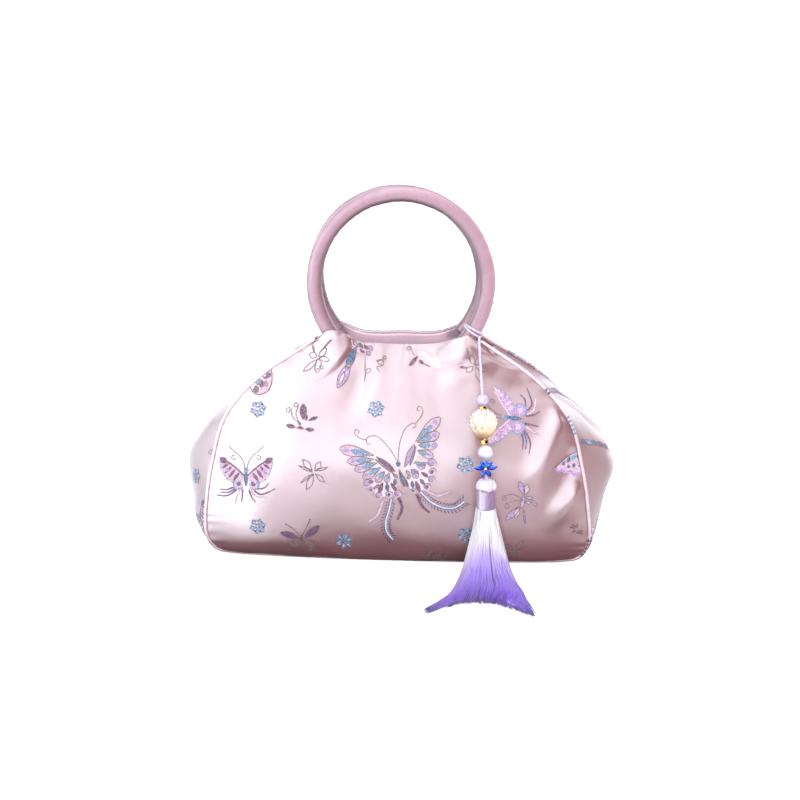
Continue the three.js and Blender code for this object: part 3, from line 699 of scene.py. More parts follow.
# Its hind wings' eyes. Columns: x, y, radius, kind
GREAT_EYES = (
    (-20.2, -5.8, 3.0, "soft"), (-17.5, -9.6, 2.1, "ring"), (-13.0, -13.4, 2.5, "soft"),
    (-6.4, -12.3, 2.5, "ring"), (-1.0, -11.7, 2.7, "soft"),
    (20.2, 7.9, 3.1, "soft"), (20.6, 2.7, 2.5, "ring"), (20.2, -2.4, 2.6, "soft"),
    (17.4, -6.9, 2.6, "ring"), (8.9, -9.3, 1.7, "ring"), (5.8, -1.4, 1.5, "ring"),
)
# Leaves of its wings and body. Columns: start x, start y, end x, end y, width, thread
GREAT_LEAVES = (
    (-14.4, 11.3, -2.4, 2.1, 3.1, "plum"), (-15.2, 9.7, -3.4, 1.0, 1.5, "blue"),
    (-10.3, -4.8, -12.7, -11.6, 2.6, "plum"), (-7.5, -4.8, -7.2, -10.4, 2.2, "slate"),
    (-5.1, -4.8, -1.7, -10.0, 2.0, "plum"), (-2.7, -2.1, -2.4, -6.2, 2.0, "slate"),
    (-16.0, -4.2, -19.0, -4.8, 2.0, "plum"), (-12.6, -6.0, -15.4, -8.6, 1.4, "blue"),
    (3.4, 5.1, 9.3, 19.6, 3.7, "lilac"), (10.3, 18.8, 6.6, 6.0, 1.5, "blue"),
    (13.7, 2.1, 18.2, -0.7, 2.1, "plum"), (12.4, 6.6, 17.6, 8.2, 2.0, "blue"),
    (13.0, -2.1, 15.8, -5.4, 2.0, "slate"), (10.3, -3.4, 13.0, -10.3, 2.5, "plum"),
    (7.9, -3.4, 8.8, -7.8, 1.9, "slate"), (4.4, 3.4, 6.8, -0.2, 2.0, "lilac"),
    (0.0, 3.4, 3.6, -7.2, 2.7, "slate"), (2.6, -0.6, 5.8, -7.6, 1.8, "plum"),
    (-4.0, 1.0, -1.0, -1.6, 1.8, "blue"), (9.0, 4.0, 12.2, 1.0, 1.6, "blue"),
)
# Its feather tails, streamers and feelers as smooth lines of spots
GREAT_FEATHERS = (
    ((-4.8, -15.2), (-6.5, -23.3), (-8.4, -30.2), (-7.9, -37.0), (-4.1, -43.2)),
    ((13.6, -10.4), (19.9, -16.5), (27.4, -19.9), (35.0, -19.9), (40.8, -15.8)),
)
GREAT_STREAMERS = (
    ("pink", (-10.3, -17.0), (-13.7, -26.0), (-19.9, -30.9)),
    ("plum", (-0.2, -14.0), (1.9, -21.3), (-1.0, -28.8)),
    ("pink", (17.2, -9.6), (24.7, -12.3), (31.2, -9.6)),
    ("plum", (11.0, -11.6), (14.4, -19.2), (19.2, -23.7)),
)
GREAT_FEELERS = (
    ((-1.0, 8.6), (-6.5, 16.8), (-13.0, 23.3), (-17.8, 24.4), (-20.9, 22.3), (-20.2, 18.9), (-18.2, 19.8)),
    ((-21.0, 21.8), (-25.4, 23.0), (-28.5, 26.0), (-27.8, 28.1), (-25.5, 27.4), (-26.2, 25.6)),
    ((-0.8, 8.6), (0.0, 19.9), (3.4, 29.5), (8.2, 32.9), (9.9, 31.2), (7.5, 29.7)),
    ((9.4, 32.6), (13.7, 38.4), (13.4, 42.9), (11.0, 43.6), (10.3, 41.2), (12.2, 40.9)),
)


def feather(shape, at, spots):
    """A tail feather: a pale quill between two blue lines, and short barbs on both sides."""
    path = smooth_path([at(*spot) for spot in spots])
    last = len(path) - 1
    ways = [path[min(k + 1, last)] - path[max(k - 1, 0)] for k in range(last + 1)]
    line(shape, path[::4] + [path[-1]], 1.1, "pale", 0)
    for side in (1, -1):
        edge = [spot + side * 0.85j * way / abs(way) for spot, way in zip(path, ways)]
        line(shape, edge[::4] + [edge[-1]], 0.75, "blue" if side > 0 else "slate", 1)
        for k in range(2, last + 1, 2):
            ahead = ways[k] / abs(ways[k])
            root = path[k] + side * 1.5j * ahead
            tip = root + (2.0 + 1.1 * k / last) * ahead * cmath.rect(1, side * 0.85)
            leaf(shape, root, tip, 0.85, "plum", 1)


def great_butterfly(shape, spot, size=1.0, turn=0.0):
    """A swallowtail with fingered fore wings, eyed hind wings and two feather tails."""
    at = placed(spot, size, turn)
    for first, second in GREAT_FIELDS:
        field(shape, [at(*point) for point in first], [at(*point) for point in second], "pale")
    for base_x, base_y, tip_x, tip_y, width in GREAT_FINGERS:
        base = at(base_x, base_y)
        tip = at(tip_x, tip_y)
        wide = width * size
        leaf(shape, base, tip, wide, "pink", 0, fat=1.7, full=0.6)
        leaf_edge(shape, base, tip, wide, "tan", 3, fat=1.7, full=0.6)
        leaf(shape, mix(base, tip, 0.08), mix(base, tip, 0.7), 0.6 * wide, "blue", 1, fat=1.3)
        dot(shape, mix(base, tip, 0.8), 0.27 * wide, "lilac", 2)
    for x, y, radius, kind in GREAT_EYES:
        soft = kind == "soft"
        dot(shape, at(x, y), radius * size, "pink", 1)
        line(shape, curl(at, x, y, radius, 0, 300), LINE, "tan", 3)
        dot(shape, at(x, y), (0.6 if soft else 0.42) * radius * size, "lilac" if soft else "slate", 2)
    leaves(shape, at, size, GREAT_LEAVES)
    for spots in GREAT_FEATHERS:
        feather(shape, at, spots)
    for thread, *spots in GREAT_STREAMERS:
        path = [at(*spot) for spot in spots]
        line(shape, path, 2.4 * size, "tan", 0, taper=0.3)
        line(shape, path, 1.7 * size, thread, 1, taper=0.3)
    for spots in GREAT_FEELERS:
        line(shape, [at(*spot) for spot in spots], 0.5 * size, "tan")
    dot(shape, at(-0.7, 6.9), 1.6 * size, "slate", 3)


# The middling butterfly's left fore wing: its leading line and the line round its outer edge
MIDDLE_LEAD = ((-1.0, 1.0), (-9.5, 8.2), (-17.8, 12.6))
MIDDLE_ROUND = ((-1.0, -2.2), (-6.4, -3.6), (-11.2, -2.6), (-14.9, 1.2), (-17.4, 6.8), (-17.8, 12.6))
# Stripes of that wing. Columns: start x, start y, end x, end y, width
MIDDLE_STRIPES = (
    (-4.4, 3.0, -8.6, -2.6, 2.1),
    (-7.0, 5.2, -11.8, -0.8, 2.1),
    (-9.4, 7.0, -14.2, 2.2, 2.0),
    (-11.6, 8.8, -16.0, 5.6, 1.9),
    (-12.4, 9.4, -17.6, 12.3, 4.2),
)
# Its left feeler
MIDDLE_FEELER = ((-0.7, 5.3), (-1.6, 9.5), (-4.4, 13.9), (-8.3, 16.9), (-11.8, 20.1))
# Its tails on both sides. Columns: start x, start y, bend x, bend y, end x, end y, thread
MIDDLE_TAILS = (
    (-6.4, -8.4, -13.2, -12.6, -20.1, -12.5, "plum"),
    (-7.4, -7.8, -12.3, -10.2, -17.6, -10.4, "slate"),
    (-8.6, -6.8, -13.0, -8.4, -18.1, -8.4, "plum"),
    (-4.4, -9.0, -6.9, -13.6, -8.3, -18.4, "pink"),
    (-2.5, -8.0, -2.9, -12.5, -3.6, -16.8, "plum"),
    (2.0, -8.2, 3.4, -13.0, 5.9, -16.3, "plum"),
    (2.9, -8.6, 6.4, -12.5, 13.2, -13.0, "pink"),
    (5.4, -8.8, 10.3, -11.1, 19.6, -7.2, "plum"),
    (7.4, -7.6, 12.3, -6.7, 15.2, -3.5, "plum"),
)


def middling_butterfly(shape, spot, size=1.0, turn=0.0, threads=("pink", "plum", "blue"), full=1.0):
    """A butterfly with striped wings, dotted edges and long tails; full widens its wings."""
    ground, stripe, edge = threads
    lobe = 4.6 - 1.2 * full
    for mirror in (False, True):
        at = placed(spot, size, turn, mirror)
        lead = [at(*point) for point in MIDDLE_LEAD]
        slim = smooth_path(lead)
        rim = []
        for k, point in enumerate(MIDDLE_ROUND):
            beside = slim[round(k / (len(MIDDLE_ROUND) - 1) * (len(slim) - 1))]
            rim.append(mix(beside, at(*point), full))
        field(shape, lead, rim, ground)
        for start_x, start_y, end_x, end_y, width in MIDDLE_STRIPES:
            start = at(start_x, start_y)
            end = mix(start, at(end_x, end_y), 0.35 + 0.65 * full)
            leaf(shape, start, end, width * size, stripe, 1)
        line(shape, lead, 1.1 * size, stripe, 2)
        rim_path = smooth_path(rim)
        for k in range(3, len(rim_path), 2):
            dot(shape, rim_path[k], (0.45 + 0.15 * (k % 4 == 1)) * size, edge, 2)
        dot(shape, mix(lead[1], rim[3], 0.55), 1.3 * size, "lilac", 2)
        dot(shape, at(-5.2, -4.6), lobe * size, ground, 0)
        dot(shape, at(-5.0, -4.4), 0.45 * lobe * size, stripe, 1)
        for k in range(9):
            bead = cmath.rect(lobe, math.radians(140 + 22 * k))
            dot(shape, at(-5.2 + bead.real, -4.6 + bead.imag), 0.62 * size, edge, 2)
        line(shape, [at(*point) for point in MIDDLE_FEELER], 0.5 * size, "tan")
        line(shape, curl(at, -8.3, 12.4, 1.8, 60, 330), 0.5 * size, "tan")
    at = placed(spot, size, turn)
    for start_x, start_y, bend_x, bend_y, end_x, end_y, thread in MIDDLE_TAILS:
        spots = [at(start_x, start_y), at(bend_x, bend_y), at(end_x, end_y)]
        line(shape, spots, 1.2 * size, thread, 2, taper=0.5)
    leaf(shape, at(0, 5.0), at(0, -6.4), 2.7 * size, "slate", 3)
    dot(shape, at(0, 4.6), 1.7 * size, edge, 4)


# Little moths, one table for each kind. Columns: start x, start y, end x, end y, width, thread; a leaf
# whose thread is none has only an outline
SITTING_MOTH = (
    (2.6, 2.0, 2.2, 12.2, 4.4, "plum"), (6.0, 1.5, 11.7, 3.8, 1.9, "plum"),
    (4.2, 1.4, 5.0, 4.8, 1.2, "plum"), (-2.4, -3.0, -8.4, -1.7, 2.6, "plum"),
    (-1.5, -3.1, 2.9, -3.5, 1.5, "plum"), (3.9, -4.2, 9.6, -4.4, 2.2, "plum"),
    (-0.6, 0.8, 0.8, -1.6, 1.6, "slate"),
)
SPREAD_MOTH = (
    (-0.8, -0.6, -13.7, 3.4, 4.8, "plum"), (1.2, -0.6, 12.1, 9.3, 4.8, "plum"),
    (-0.8, -2.0, -6.6, -6.2, 5.6, "tan"), (1.4, -2.0, 8.6, -5.4, 5.6, "tan"),
    (-3.9, -7.4, -8.8, -10.2, 1.8, "plum"), (7.2, -6.6, 4.2, -10.6, 1.8, "plum"),
    (0.2, 2.6, 0.2, -4.0, 2.0, "plum"),
)
LEANING_MOTH = (
    (0.5, 3.6, -2.8, 11.9, 3.6, "lilac"), (1.2, 3.4, 2.2, 10.0, 3.4, "pink"),
    (-1.6, -4.4, -10.8, -13.4, 3.8, "lilac"), (-2.6, -5.0, -4.8, -11.6, 3.4, "pink"),
    (5.4, 0.0, 9.0, -4.6, 1.7, "lilac"), (1.6, 1.6, 6.2, 1.0, 2.2, "lilac"),
    (1.4, -1.6, 5.0, -2.2, 1.6, "pink"), (0.4, -6.0, 1.6, -15.8, 1.3, "lilac"),
    (0.4, 3.6, -0.8, -5.6, 2.8, "lilac"),
)
STAR_MOTH = (
    (-1.0, 1.0, -7.2, 8.0, 3.8, "none"), (0.6, 1.0, 4.6, 6.8, 3.4, "none"),
    (1.0, 0.8, 8.8, 3.2, 1.5, "none"), (-1.0, 0.0, -9.8, 4.0, 1.3, "none"),
    (0.0, -1.0, -4.8, -11.6, 3.8, "none"), (-1.0, -1.0, -8.6, -7.2, 1.3, "none"),
    (1.0, -1.0, 7.0, -6.2, 2.8, "none"),
)
CURLED_MOTH = (
    (-0.5, -0.8, -9.2, -8.2, 3.4, "none"), (-0.6, 1.0, -5.8, 3.2, 3.8, "none"),
    (0.6, 0.8, 5.8, 4.6, 3.4, "none"), (1.0, 0.0, 7.8, -1.6, 2.6, "none"),
    (-2.6, 3.6, -3.8, 8.6, 0.9, "none"), (2.0, 3.6, 8.6, 8.6, 0.9, "none"),
)
PLUME_MOTH = (
    (-1.0, 0.6, -7.2, -3.2, 1.5, "plum"), (0.0, 1.4, -5.6, -0.6, 1.4, "plum"),
    (1.0, 1.0, -0.8, 5.0, 1.3, "plum"), (2.0, 0.8, 6.4, 4.4, 1.4, "plum"),
    (2.0, -0.5, 7.2, 1.2, 1.4, "plum"), (1.0, -1.0, 4.8, -3.4, 1.4, "plum"),
    (-1.4, -1.0, -4.0, -4.4, 1.3, "plum"),
)
# Feelers of the little moths: a bend, the middle of the end curl and its radius
SITTING_FEELERS = ((-4.4, 3.4, -7.3, 7.8, 2.0), (-2.4, 5.4, -2.6, 11.0, 1.8))
SPREAD_FEELERS = ((-4.0, 5.2, -9.8, 9.4, 0.3), (3.4, 7.4, 6.0, 13.4, 0.3))
LEANING_FEELERS = ((-6.0, 3.4, -11.6, 0.8, 1.7), (-6.6, -1.0, -9.8, -4.2, 1.9))
CURLED_FEELERS = ((-1.6, -4.6, 0.0, -7.6, 1.7), (2.6, -3.0, 2.8, -5.8, 1.5))


def moth(shape, spot, size, turn, rows, feelers=(), thread="tan", full=0.8):
    """A little moth of leaves, with feelers that end in a curl."""
    at = placed(spot, size, turn)
    leaves(shape, at, size, rows, full=full)
    for bend_x, bend_y, end_x, end_y, radius in feelers:
        line(shape, [at(0, 0), *curled(at, bend_x, bend_y, end_x, end_y, radius)], 0.55 * size, thread)


def lay_on_cloth(shape, cloth, edge_of):
    """Lays flat drawn floats on the cloth and cuts off what passes its edges."""
    flat = np.array([vert.co for vert in shape.verts])
    share = flat[:, 1] / PANEL_LENGTH
    low, high = edge_of(share)
    outside = (flat[:, 0] < low) | (flat[:, 0] > high) | (share < FLOATS_FROM) | (share > FLOATS_TO)
    shares = np.clip(share, 0.004, 0.999)
    facing = normals_of(cloth, flat[:, 0], shares, 0.3, 0.002)
    points = (cloth(flat[:, 0], shares) + facing * flat[:, 2:]) * MM
    verts = list(shape.verts)
    for vert, point in zip(verts, points):
        vert.co = point
    bmesh.ops.delete(shape, geom=[vert for vert, cut in zip(verts, outside) if cut], context="VERTS")


def panel_edges(share):
    return -half_width(share), half_width(share)


def draw(shape, motifs):
    """Draws motifs one after another, each a function and what it takes."""
    for motif, *settings in motifs:
        motif(shape, *settings)


FRONT_BROCADE = (
    (great_butterfly, 3.5 + 72.0j),
    (middling_butterfly, -95.0 + 68.4j, 1.0, 1),
    (middling_butterfly, 73.0 + 109.5j, 1.05, 84, ("lilac", "pink", "blue"), 0.62),
    (moth, -60.5 + 104.0j, 1.0, 0, SITTING_MOTH, SITTING_FEELERS),
    (moth, -59.5 + 28.4j, 1.0, 0, SPREAD_MOTH, SPREAD_FEELERS, "plum"),
    (moth, 81.0 + 58.0j, 1.0, 0, LEANING_MOTH, LEANING_FEELERS),
    (moth, 24.0 + 18.0j, 1.0, 0, PLUME_MOTH),
    (moth, 30.5 + 14.0j, 0.8, 150, PLUME_MOTH),
    (moth, 115.5 + 38.0j, 0.7, 120, PLUME_MOTH),
    (moth, -50.5 + 72.8j, 1.0, 0, STAR_MOTH, (), "tan", 1.3),
    (moth, -50.5 + 146.0j, 1.0, 0, CURLED_MOTH, CURLED_FEELERS),
    (moth, 49.0 + 142.6j, 0.95, 70, CURLED_MOTH, CURLED_FEELERS),
    (moth, 76.5 + 20.8j, 0.9, 170, STAR_MOTH, (), "tan", 1.3),
    (medallion, -88.5 + 112.4j),
    (medallion, -12.0 + 113.6j),
    (medallion, -88.0 + 35.6j),
    (medallion, -32.0 + 26.8j),
    (medallion, 44.5 + 79.6j),
    (medallion, 45.5 + 33.6j),
)
# A wing with eyes at the left shoulder, cut off by the seam, and the leaves in it
SHOULDER_WING = (-83.0 + 145.0j, -90.0 + 121.6j, 14.5)
SHOULDER_LEAVES = (
    (-83.5, 138.6, -85.0, 132.4, 6.0, "plum"), (-91.0, 134.0, -88.0, 127.6, 3.4, "blue"),
    (-87.0, 131.4, -86.6, 126.2, 2.6, "plum"), (-90.4, 127.4, -90.2, 122.8, 4.0, "tan"),
    (-84.6, 130.6, -83.2, 127.0, 1.8, "lilac"),
)
# A wing with drops at the right seam: its upper line, its lower line, its drops and its scalloped edge
DROPPED_WING = (100.5 + 78.8j, 107.0 + 84.4j, 113.0 + 88.4j, 117.0 + 90.0j)
DROPPED_EDGE = (100.5 + 78.8j, 106.0 + 76.8j, 111.0 + 76.2j, 117.0 + 75.2j)
DROPS = (
    (107.2 + 83.4j, 105.8 + 80.0j, 2.2, "slate"), (110.5 + 86.2j, 108.9 + 81.8j, 2.6, "slate"),
    (113.5 + 88.0j, 111.9 + 83.4j, 2.7, "blue"), (116.3 + 88.8j, 114.9 + 84.6j, 2.5, "slate"),
    (110.2 + 80.9j, 109.4 + 78.2j, 2.0, "slate"), (113.4 + 81.9j, 112.6 + 78.8j, 2.0, "slate"),
    (116.3 + 82.6j, 115.6 + 79.4j, 2.0, "blue"),
)
SCALLOPS = (100.6 + 78.6j, 103.4 + 76.6j, 105.6 + 77.6j, 108.2 + 75.4j, 110.6 + 76.6j, 113.2 + 74.6j,
            117.0 + 75.6j)
# A butterfly folded into the pleat at the left of the mouth: a patch at the rim between two lines,
# the leaves of its wings, with those of its neighbours at the rim, and its feelers
RIM_PATCH = (
    (-32.0 + 159.4j, -24.0 + 158.8j, -15.5 + 158.0j),
    (-28.5 + 153.0j, -24.0 + 151.4j, -17.0 + 151.0j),
)
RIM_LEAVES = (
    (-30.6, 158.8, -28.4, 154.2, 2.2, "blue"), (-27.6, 158.4, -25.4, 154.6, 2.0, "lilac"),
    (-24.8, 158.2, -22.4, 155.0, 2.2, "slate"), (-21.6, 157.8, -19.4, 154.6, 2.0, "plum"),
    (-18.6, 157.6, -16.6, 153.6, 2.4, "lilac"), (-24.2, 154.0, -20.8, 151.8, 2.0, "plum"),
    (-20.0, 153.4, -17.6, 150.4, 2.6, "lilac"), (-26.0, 154.8, -32.4, 139.4, 4.4, "slate"),
    (-30.0, 144.6, -37.0, 127.0, 6.0, "lilac"), (-33.0, 138.4, -36.2, 129.4, 2.2, "pale"),
    (13.0, 150.8, 8.0, 143.2, 2.4, "plum"), (14.0, 147.8, 16.6, 145.0, 2.0, "plum"),
    (55.0, 157.6, 66.0, 150.6, 3.6, "lilac"), (57.0, 154.6, 63.0, 150.6, 2.2, "pink"),
)
# Columns: start, bend x, bend y, end x, end y, radius of the end curl
RIM_FEELERS = (
    (-20.6 + 150.0j, -20.4, 143.6, -18.2, 140.0, 2.1),
    (-10.4 + 138.0j, -12.8, 141.4, -10.6, 144.6, 2.5),
    (-13.4 + 146.0j, -10.6, 147.0, -8.4, 148.8, 1.5),
    (11.0 + 151.0j, 9.4, 153.4, 7.0, 156.0, 1.9),
)
on_cloth = placed(0)
front_brocade = new_shape()
draw(front_brocade, FRONT_BROCADE)
leaf(front_brocade, *SHOULDER_WING, "pink", 0, fat=1.7, full=0.5)
leaf_edge(front_brocade, *SHOULDER_WING, "plum", 3, fat=1.7, full=0.5)
leaves(front_brocade, on_cloth, 1.0, SHOULDER_LEAVES)
field(front_brocade, DROPPED_WING, DROPPED_EDGE, "pink")
line(front_brocade, DROPPED_WING, LINE, "tan")
for start, end, width, thread in DROPS:
    leaf(front_brocade, start, end, width, thread, 3, fat=1.15)
line(front_brocade, SCALLOPS, 2.0, "lilac", 2)
field(front_brocade, *RIM_PATCH, "pink")
leaves(front_brocade, on_cloth, 1.0, RIM_LEAVES)
for start, *ending in RIM_FEELERS:
    line(front_brocade, [start, *curled(on_cloth, *ending)], 0.55, "tan")
line(front_brocade, (-20.4 + 144.0j, -20.0 + 138.0j, -20.4 + 132.6j), 0.5, "tan")
line(front_brocade, (15.0 + 146.6j, 18.0 + 144.6j, 21.0 + 142.8j), 0.6, "plum")
lay_on_cloth(front_brocade, front_cloth, panel_edges)
finished_piece("front_floats", "satin_brocade", front_brocade, *rayons)


# Back panel: the same cut as the front, gathered at the mouth with more even folds, its shoulders
# a little lower. The same brocade runs over it.
BACK_FOLDS = (
    (-26, 1.0, -42, 0.6, -2.8, 6, 12, 0),
    (-12, 1.0, -15, 0.66, -2.2, 5, 9, 0),
    (1, 1.0, 2, 0.72, -1.6, 4, 7, 0),
    (14, 1.0, 17, 0.64, -2.4, 5, 9, 0),
    (27, 1.0, 46, 0.58, -2.8, 6, 12, 0),
    (-96, 0.72, -74, 0.38, 2.4, 9, 11, 0),
    (98, 0.7, 76, 0.36, 2.4, 9, 11, 0),
)
back_form = panel_form(side=1, feet=(-46, 43), spread=14, lifts=(7.0, 6.0), swell=6.0, rim_lift=2.4)
back_cloth = panel_cloth(1, back_form, BACK_FOLDS)
back_shape = new_shape()
cloth_grid(back_shape, columns=200, rows=130, surface=laid_panel(back_cloth))
back = finished_piece("back", "satin_brocade", back_shape, pink_satin)
thicken(back, WALL)
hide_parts("back_panel")

BACK_BROCADE = (
    (great_butterfly, -38.0 + 74.0j),
    (great_butterfly, 86.0 + 98.0j, 0.95, 12),
    (middling_butterfly, 36.0 + 62.0j, 0.98, -4),
    (middling_butterfly, 12.0 + 132.0j, 0.9, 170, ("lilac", "plum", "blue")),
    (middling_butterfly, -100.0 + 62.0j, 0.95, 80, ("lilac", "pink", "blue")),
    (moth, 3.0 + 112.0j, 1.0, 0, SITTING_MOTH, SITTING_FEELERS),
    (moth, 6.0 + 26.0j, 1.0, 8, SPREAD_MOTH, SPREAD_FEELERS, "plum"),
    (moth, 92.0 + 42.0j, 1.0, 0, LEANING_MOTH, LEANING_FEELERS),
    (moth, -62.0 + 124.0j, 1.0, 20, STAR_MOTH, (), "tan", 1.3),
    (moth, 62.0 + 118.0j, 1.0, -24, CURLED_MOTH, CURLED_FEELERS),
    (moth, -84.0 + 24.0j, 0.95, 160, STAR_MOTH, (), "tan", 1.3),
    (medallion, -70.0 + 108.0j),
    (medallion, -6.0 + 84.0j),
    (medallion, 68.0 + 30.0j),
    (medallion, -46.0 + 24.0j),
    (medallion, 44.0 + 98.0j),
    (medallion, -112.0 + 34.0j),
)
back_brocade = new_shape()
draw(back_brocade, BACK_BROCADE)
lay_on_cloth(back_brocade, back_cloth, panel_edges)
finished_piece("back_floats", "satin_brocade", back_brocade, *rayons)


# Gussets: the two side walls of the same satin. Each bulges below, folds inwards towards the mouth
# and is sewn to the front and the back with the piped seams.
GUSSET_FOOT = 0.004  # share of the panel's height where a gusset begins
GUSSET_TOP = 0.95  # and where it ends
GUSSET_FLOATS_TOP = 134.0  # no floats lie above this height, where the gusset folds inwards
# Columns: from across, from share, to across, to share, height, spread; across is -1 at the front seam
LEFT_CREASES = ((0.1, 0.8, -0.2, 0.5, -2.2, 9),)
RIGHT_CREASES = (
    (-0.15, 0.86, -0.1, 0.5, -4.2, 8),
    (0.5, 0.62, -0.7, 0.53, 2.2, 6),
    (0.3, 0.34, -0.6, 0.22, 1.6, 9),
    (0.0, 0.44, 0.0, 0.0, -9.0, 30),
)


def gusset_bulge(row):
    """How far a gusset stands out from its seams, and how sharply it turns there."""
    bulge = row["side_x"] - row["seam_x"]
    return bulge, np.where(bulge > 0, 2.2, 1.7)


def gusset_cloth(side, creases):
    """A gusset by its flat distance from its middle line, as seen from outside, and its height."""
    def cloth(flat_y, share):
        row = section_at(share)
        bulge, power = gusset_bulge(row)
        across = np.clip(side * flat_y / row["seam_y"], -1, 1)
        middle = 1 - np.abs(across) ** power
        x = row["seam_x"] + bulge * middle
        for from_across, from_share, to_across, to_share, height, spread in creases:
            off_y = (across - from_across) * row["seam_y"]
            off_z = (share - from_share) * PANEL_LENGTH
            line_y = (to_across - from_across) * row["seam_y"]
            along, away = beside(off_y, off_z, line_y, (to_share - from_share) * PANEL_LENGTH)
            ends = smooth(0, 0.4, along) * (1 - smooth(0.6, 1, along))
            x = x + height * ends * smooth(0, 0.25, 1 - np.abs(across)) * np.exp(-((away / spread) ** 2))
        length = share * PANEL_LENGTH
        slack = np.sin(0.16 * flat_y + 0.05 * length + side) * np.sin(0.06 * flat_y - 0.12 * length)
        x = x + 0.45 * slack * smooth(0, 0.3, 1 - np.abs(across))
        drop = BACK_DROP * smooth(0.6, 1, share) * smooth(-1, 1, across)
        z = mix(row["seam_z"], row["side_z"], middle) - drop
        return np.stack([side * x, row["seam_y"] * across, z], -1)
    return cloth


def gusset_half(share):
    """Half a gusset's width, less its tuck square to the cloth."""
    row = section_at(share)
    bulge, power = gusset_bulge(row)
    tuck = SEAM_TUCK + 1.4 * smooth(0.7, 0.95, share)
    return row["seam_y"] * (1 - tuck / np.hypot(row["seam_y"], power * bulge))


def laid_gusset(cloth):
    def surface(across, up):
        share = mix(GUSSET_FOOT, GUSSET_TOP, up)
        return cloth(gusset_half(share) * (2 * across - 1), share)
    return surface


def gusset_edges(share):
    return -gusset_half(share), gusset_half(share)


# Leaves of a wing that shows on the right gusset's fold. Columns: start across, start height,
# end across, end height, width, thread
FOLDED_WING = (
    (-38.0, 96.0, -33.0, 93.0, 3.0, "slate"), (-33.6, 94.6, -28.4, 91.4, 3.4, "blue"),
    (-28.8, 93.4, -23.6, 89.8, 3.4, "slate"), (-24.0, 91.4, -18.8, 87.4, 3.2, "plum"),
    (-19.4, 89.0, -14.0, 84.6, 3.0, "slate"), (-14.6, 86.0, -9.0, 81.6, 2.8, "blue"),
)
GUSSET_BROCADE = {
    "left": (
        (medallion, 33.0 + 64.0j),
        (middling_butterfly, 40.0 + 36.0j, 0.7, 40),
        (medallion, -26.0 + 84.0j),
        (middling_butterfly, -26.0 + 62.0j, 0.9, 20),
        (line, curl(placed(40.0 + 83.0j), 0, 0, 1.8, 60, 330), 0.5, "tan"),
    ),
    "right": (
        (leaves, on_cloth, 1.0, FOLDED_WING),
        (middling_butterfly, -38.0 + 27.0j, 0.7, 100, ("pale", "plum", "slate")),
        (middling_butterfly, 22.0 + 74.0j, 0.9, 60, ("lilac", "plum", "slate")),
        (medallion, 16.0 + 44.0j),
        (moth, 12.0 + 116.0j, 0.9, 40, LEANING_MOTH),
    ),
}
for name, side, creases in (("left", -1, LEFT_CREASES), ("right", 1, RIGHT_CREASES)):
    side_cloth = gusset_cloth(side, creases)
    side_shape = new_shape()
    cloth_grid(side_shape, columns=90, rows=130, surface=laid_gusset(side_cloth))
    gusset = finished_piece("gusset_" + name + "_cloth", "satin_brocade", side_shape, pink_satin)
    thicken(gusset, WALL)
    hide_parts("gusset_" + name)
    side_brocade = new_shape()
    draw(side_brocade, GUSSET_BROCADE[name])
    lay_on_cloth(side_brocade, side_cloth, gusset_edges)
    folded = [vert for vert in side_brocade.verts if vert.co.z > GUSSET_FLOATS_TOP * MM]
    bmesh.ops.delete(side_brocade, geom=folded, context="VERTS")
    finished_piece("gusset_" + name + "_floats", "satin_brocade", side_brocade, *rayons)


# Piping: a thin cord covered with a bias strip of the satin, sewn into each seam, from one handle's
# foot down round the bottom and up to the other. Bits of the brocade show on the strip. Its satin is
# painted much paler than the body's, as light on the piping.
PIPING_RADIUS = 1.05
# Where the brocade shows on a strip. Columns: from and to as shares of the seam, thread
PIPING_BITS = {
    "front": ((0.086, 0.095, "slate"), (0.125, 0.146, "blue"), (0.262, 0.29, "plum")),
    "back": ((0.036, 0.047, "slate"), (0.05, 0.062, "blue"), (0.066, 0.078, "plum"), (0.082, 0.1, "blue"),
             (0.955, 0.965, "plum"), (0.965, 0.975, "slate"), (0.978, 0.99, "plum")),
}


def along_path(points):
    """Places, ways ahead and two square ways on a line of points, at shares from 0 to 1 of its length."""
    ahead = np.gradient(points, axis=0)
    ahead /= np.linalg.norm(ahead, axis=1, keepdims=True)
    start = np.cross(ahead[0], (0.31, 0.17, 0.93))
    squares = [start / np.linalg.norm(start)]
    for way in ahead[1:]:
        carried = squares[-1] - way * np.dot(squares[-1], way)
        squares.append(carried / np.linalg.norm(carried))
    squares = np.array(squares)
    reach = np.concatenate([[0], np.cumsum(np.linalg.norm(np.diff(points, axis=0), axis=1))])

    def at(share):
        def read(values):
            return np.stack([np.interp(share * reach[-1], reach, column) for column in values.T], -1)
        way = read(ahead)
        way /= np.linalg.norm(way, axis=-1, keepdims=True)
        square = read(squares)
        square -= way * np.sum(square * way, axis=-1, keepdims=True)
        square /= np.linalg.norm(square, axis=-1, keepdims=True)
        return read(points), way, square, np.cross(way, square)
    return at, reach[-1]


def round_cord(shape, points, radius, sides, steps):
    """A closed tube along a line of points; radius is a function of the turn and the share."""
    at, length = along_path(points)

    def surface(across, up):
        place, _, square, other = at(up)
        turn = -2 * np.pi * across
        reach = radius(turn, up, length)[:, None]
        return place + reach * (np.cos(turn)[:, None] * square + np.sin(turn)[:, None] * other)

    verts = cloth_grid(shape, sides, steps, surface)
    bmesh.ops.remove_doubles(shape, verts=verts, dist=1e-6)
    rim = [edge for edge in shape.edges if edge.is_boundary]
    bmesh.ops.holes_fill(shape, edges=rim, sides=0)
    return length


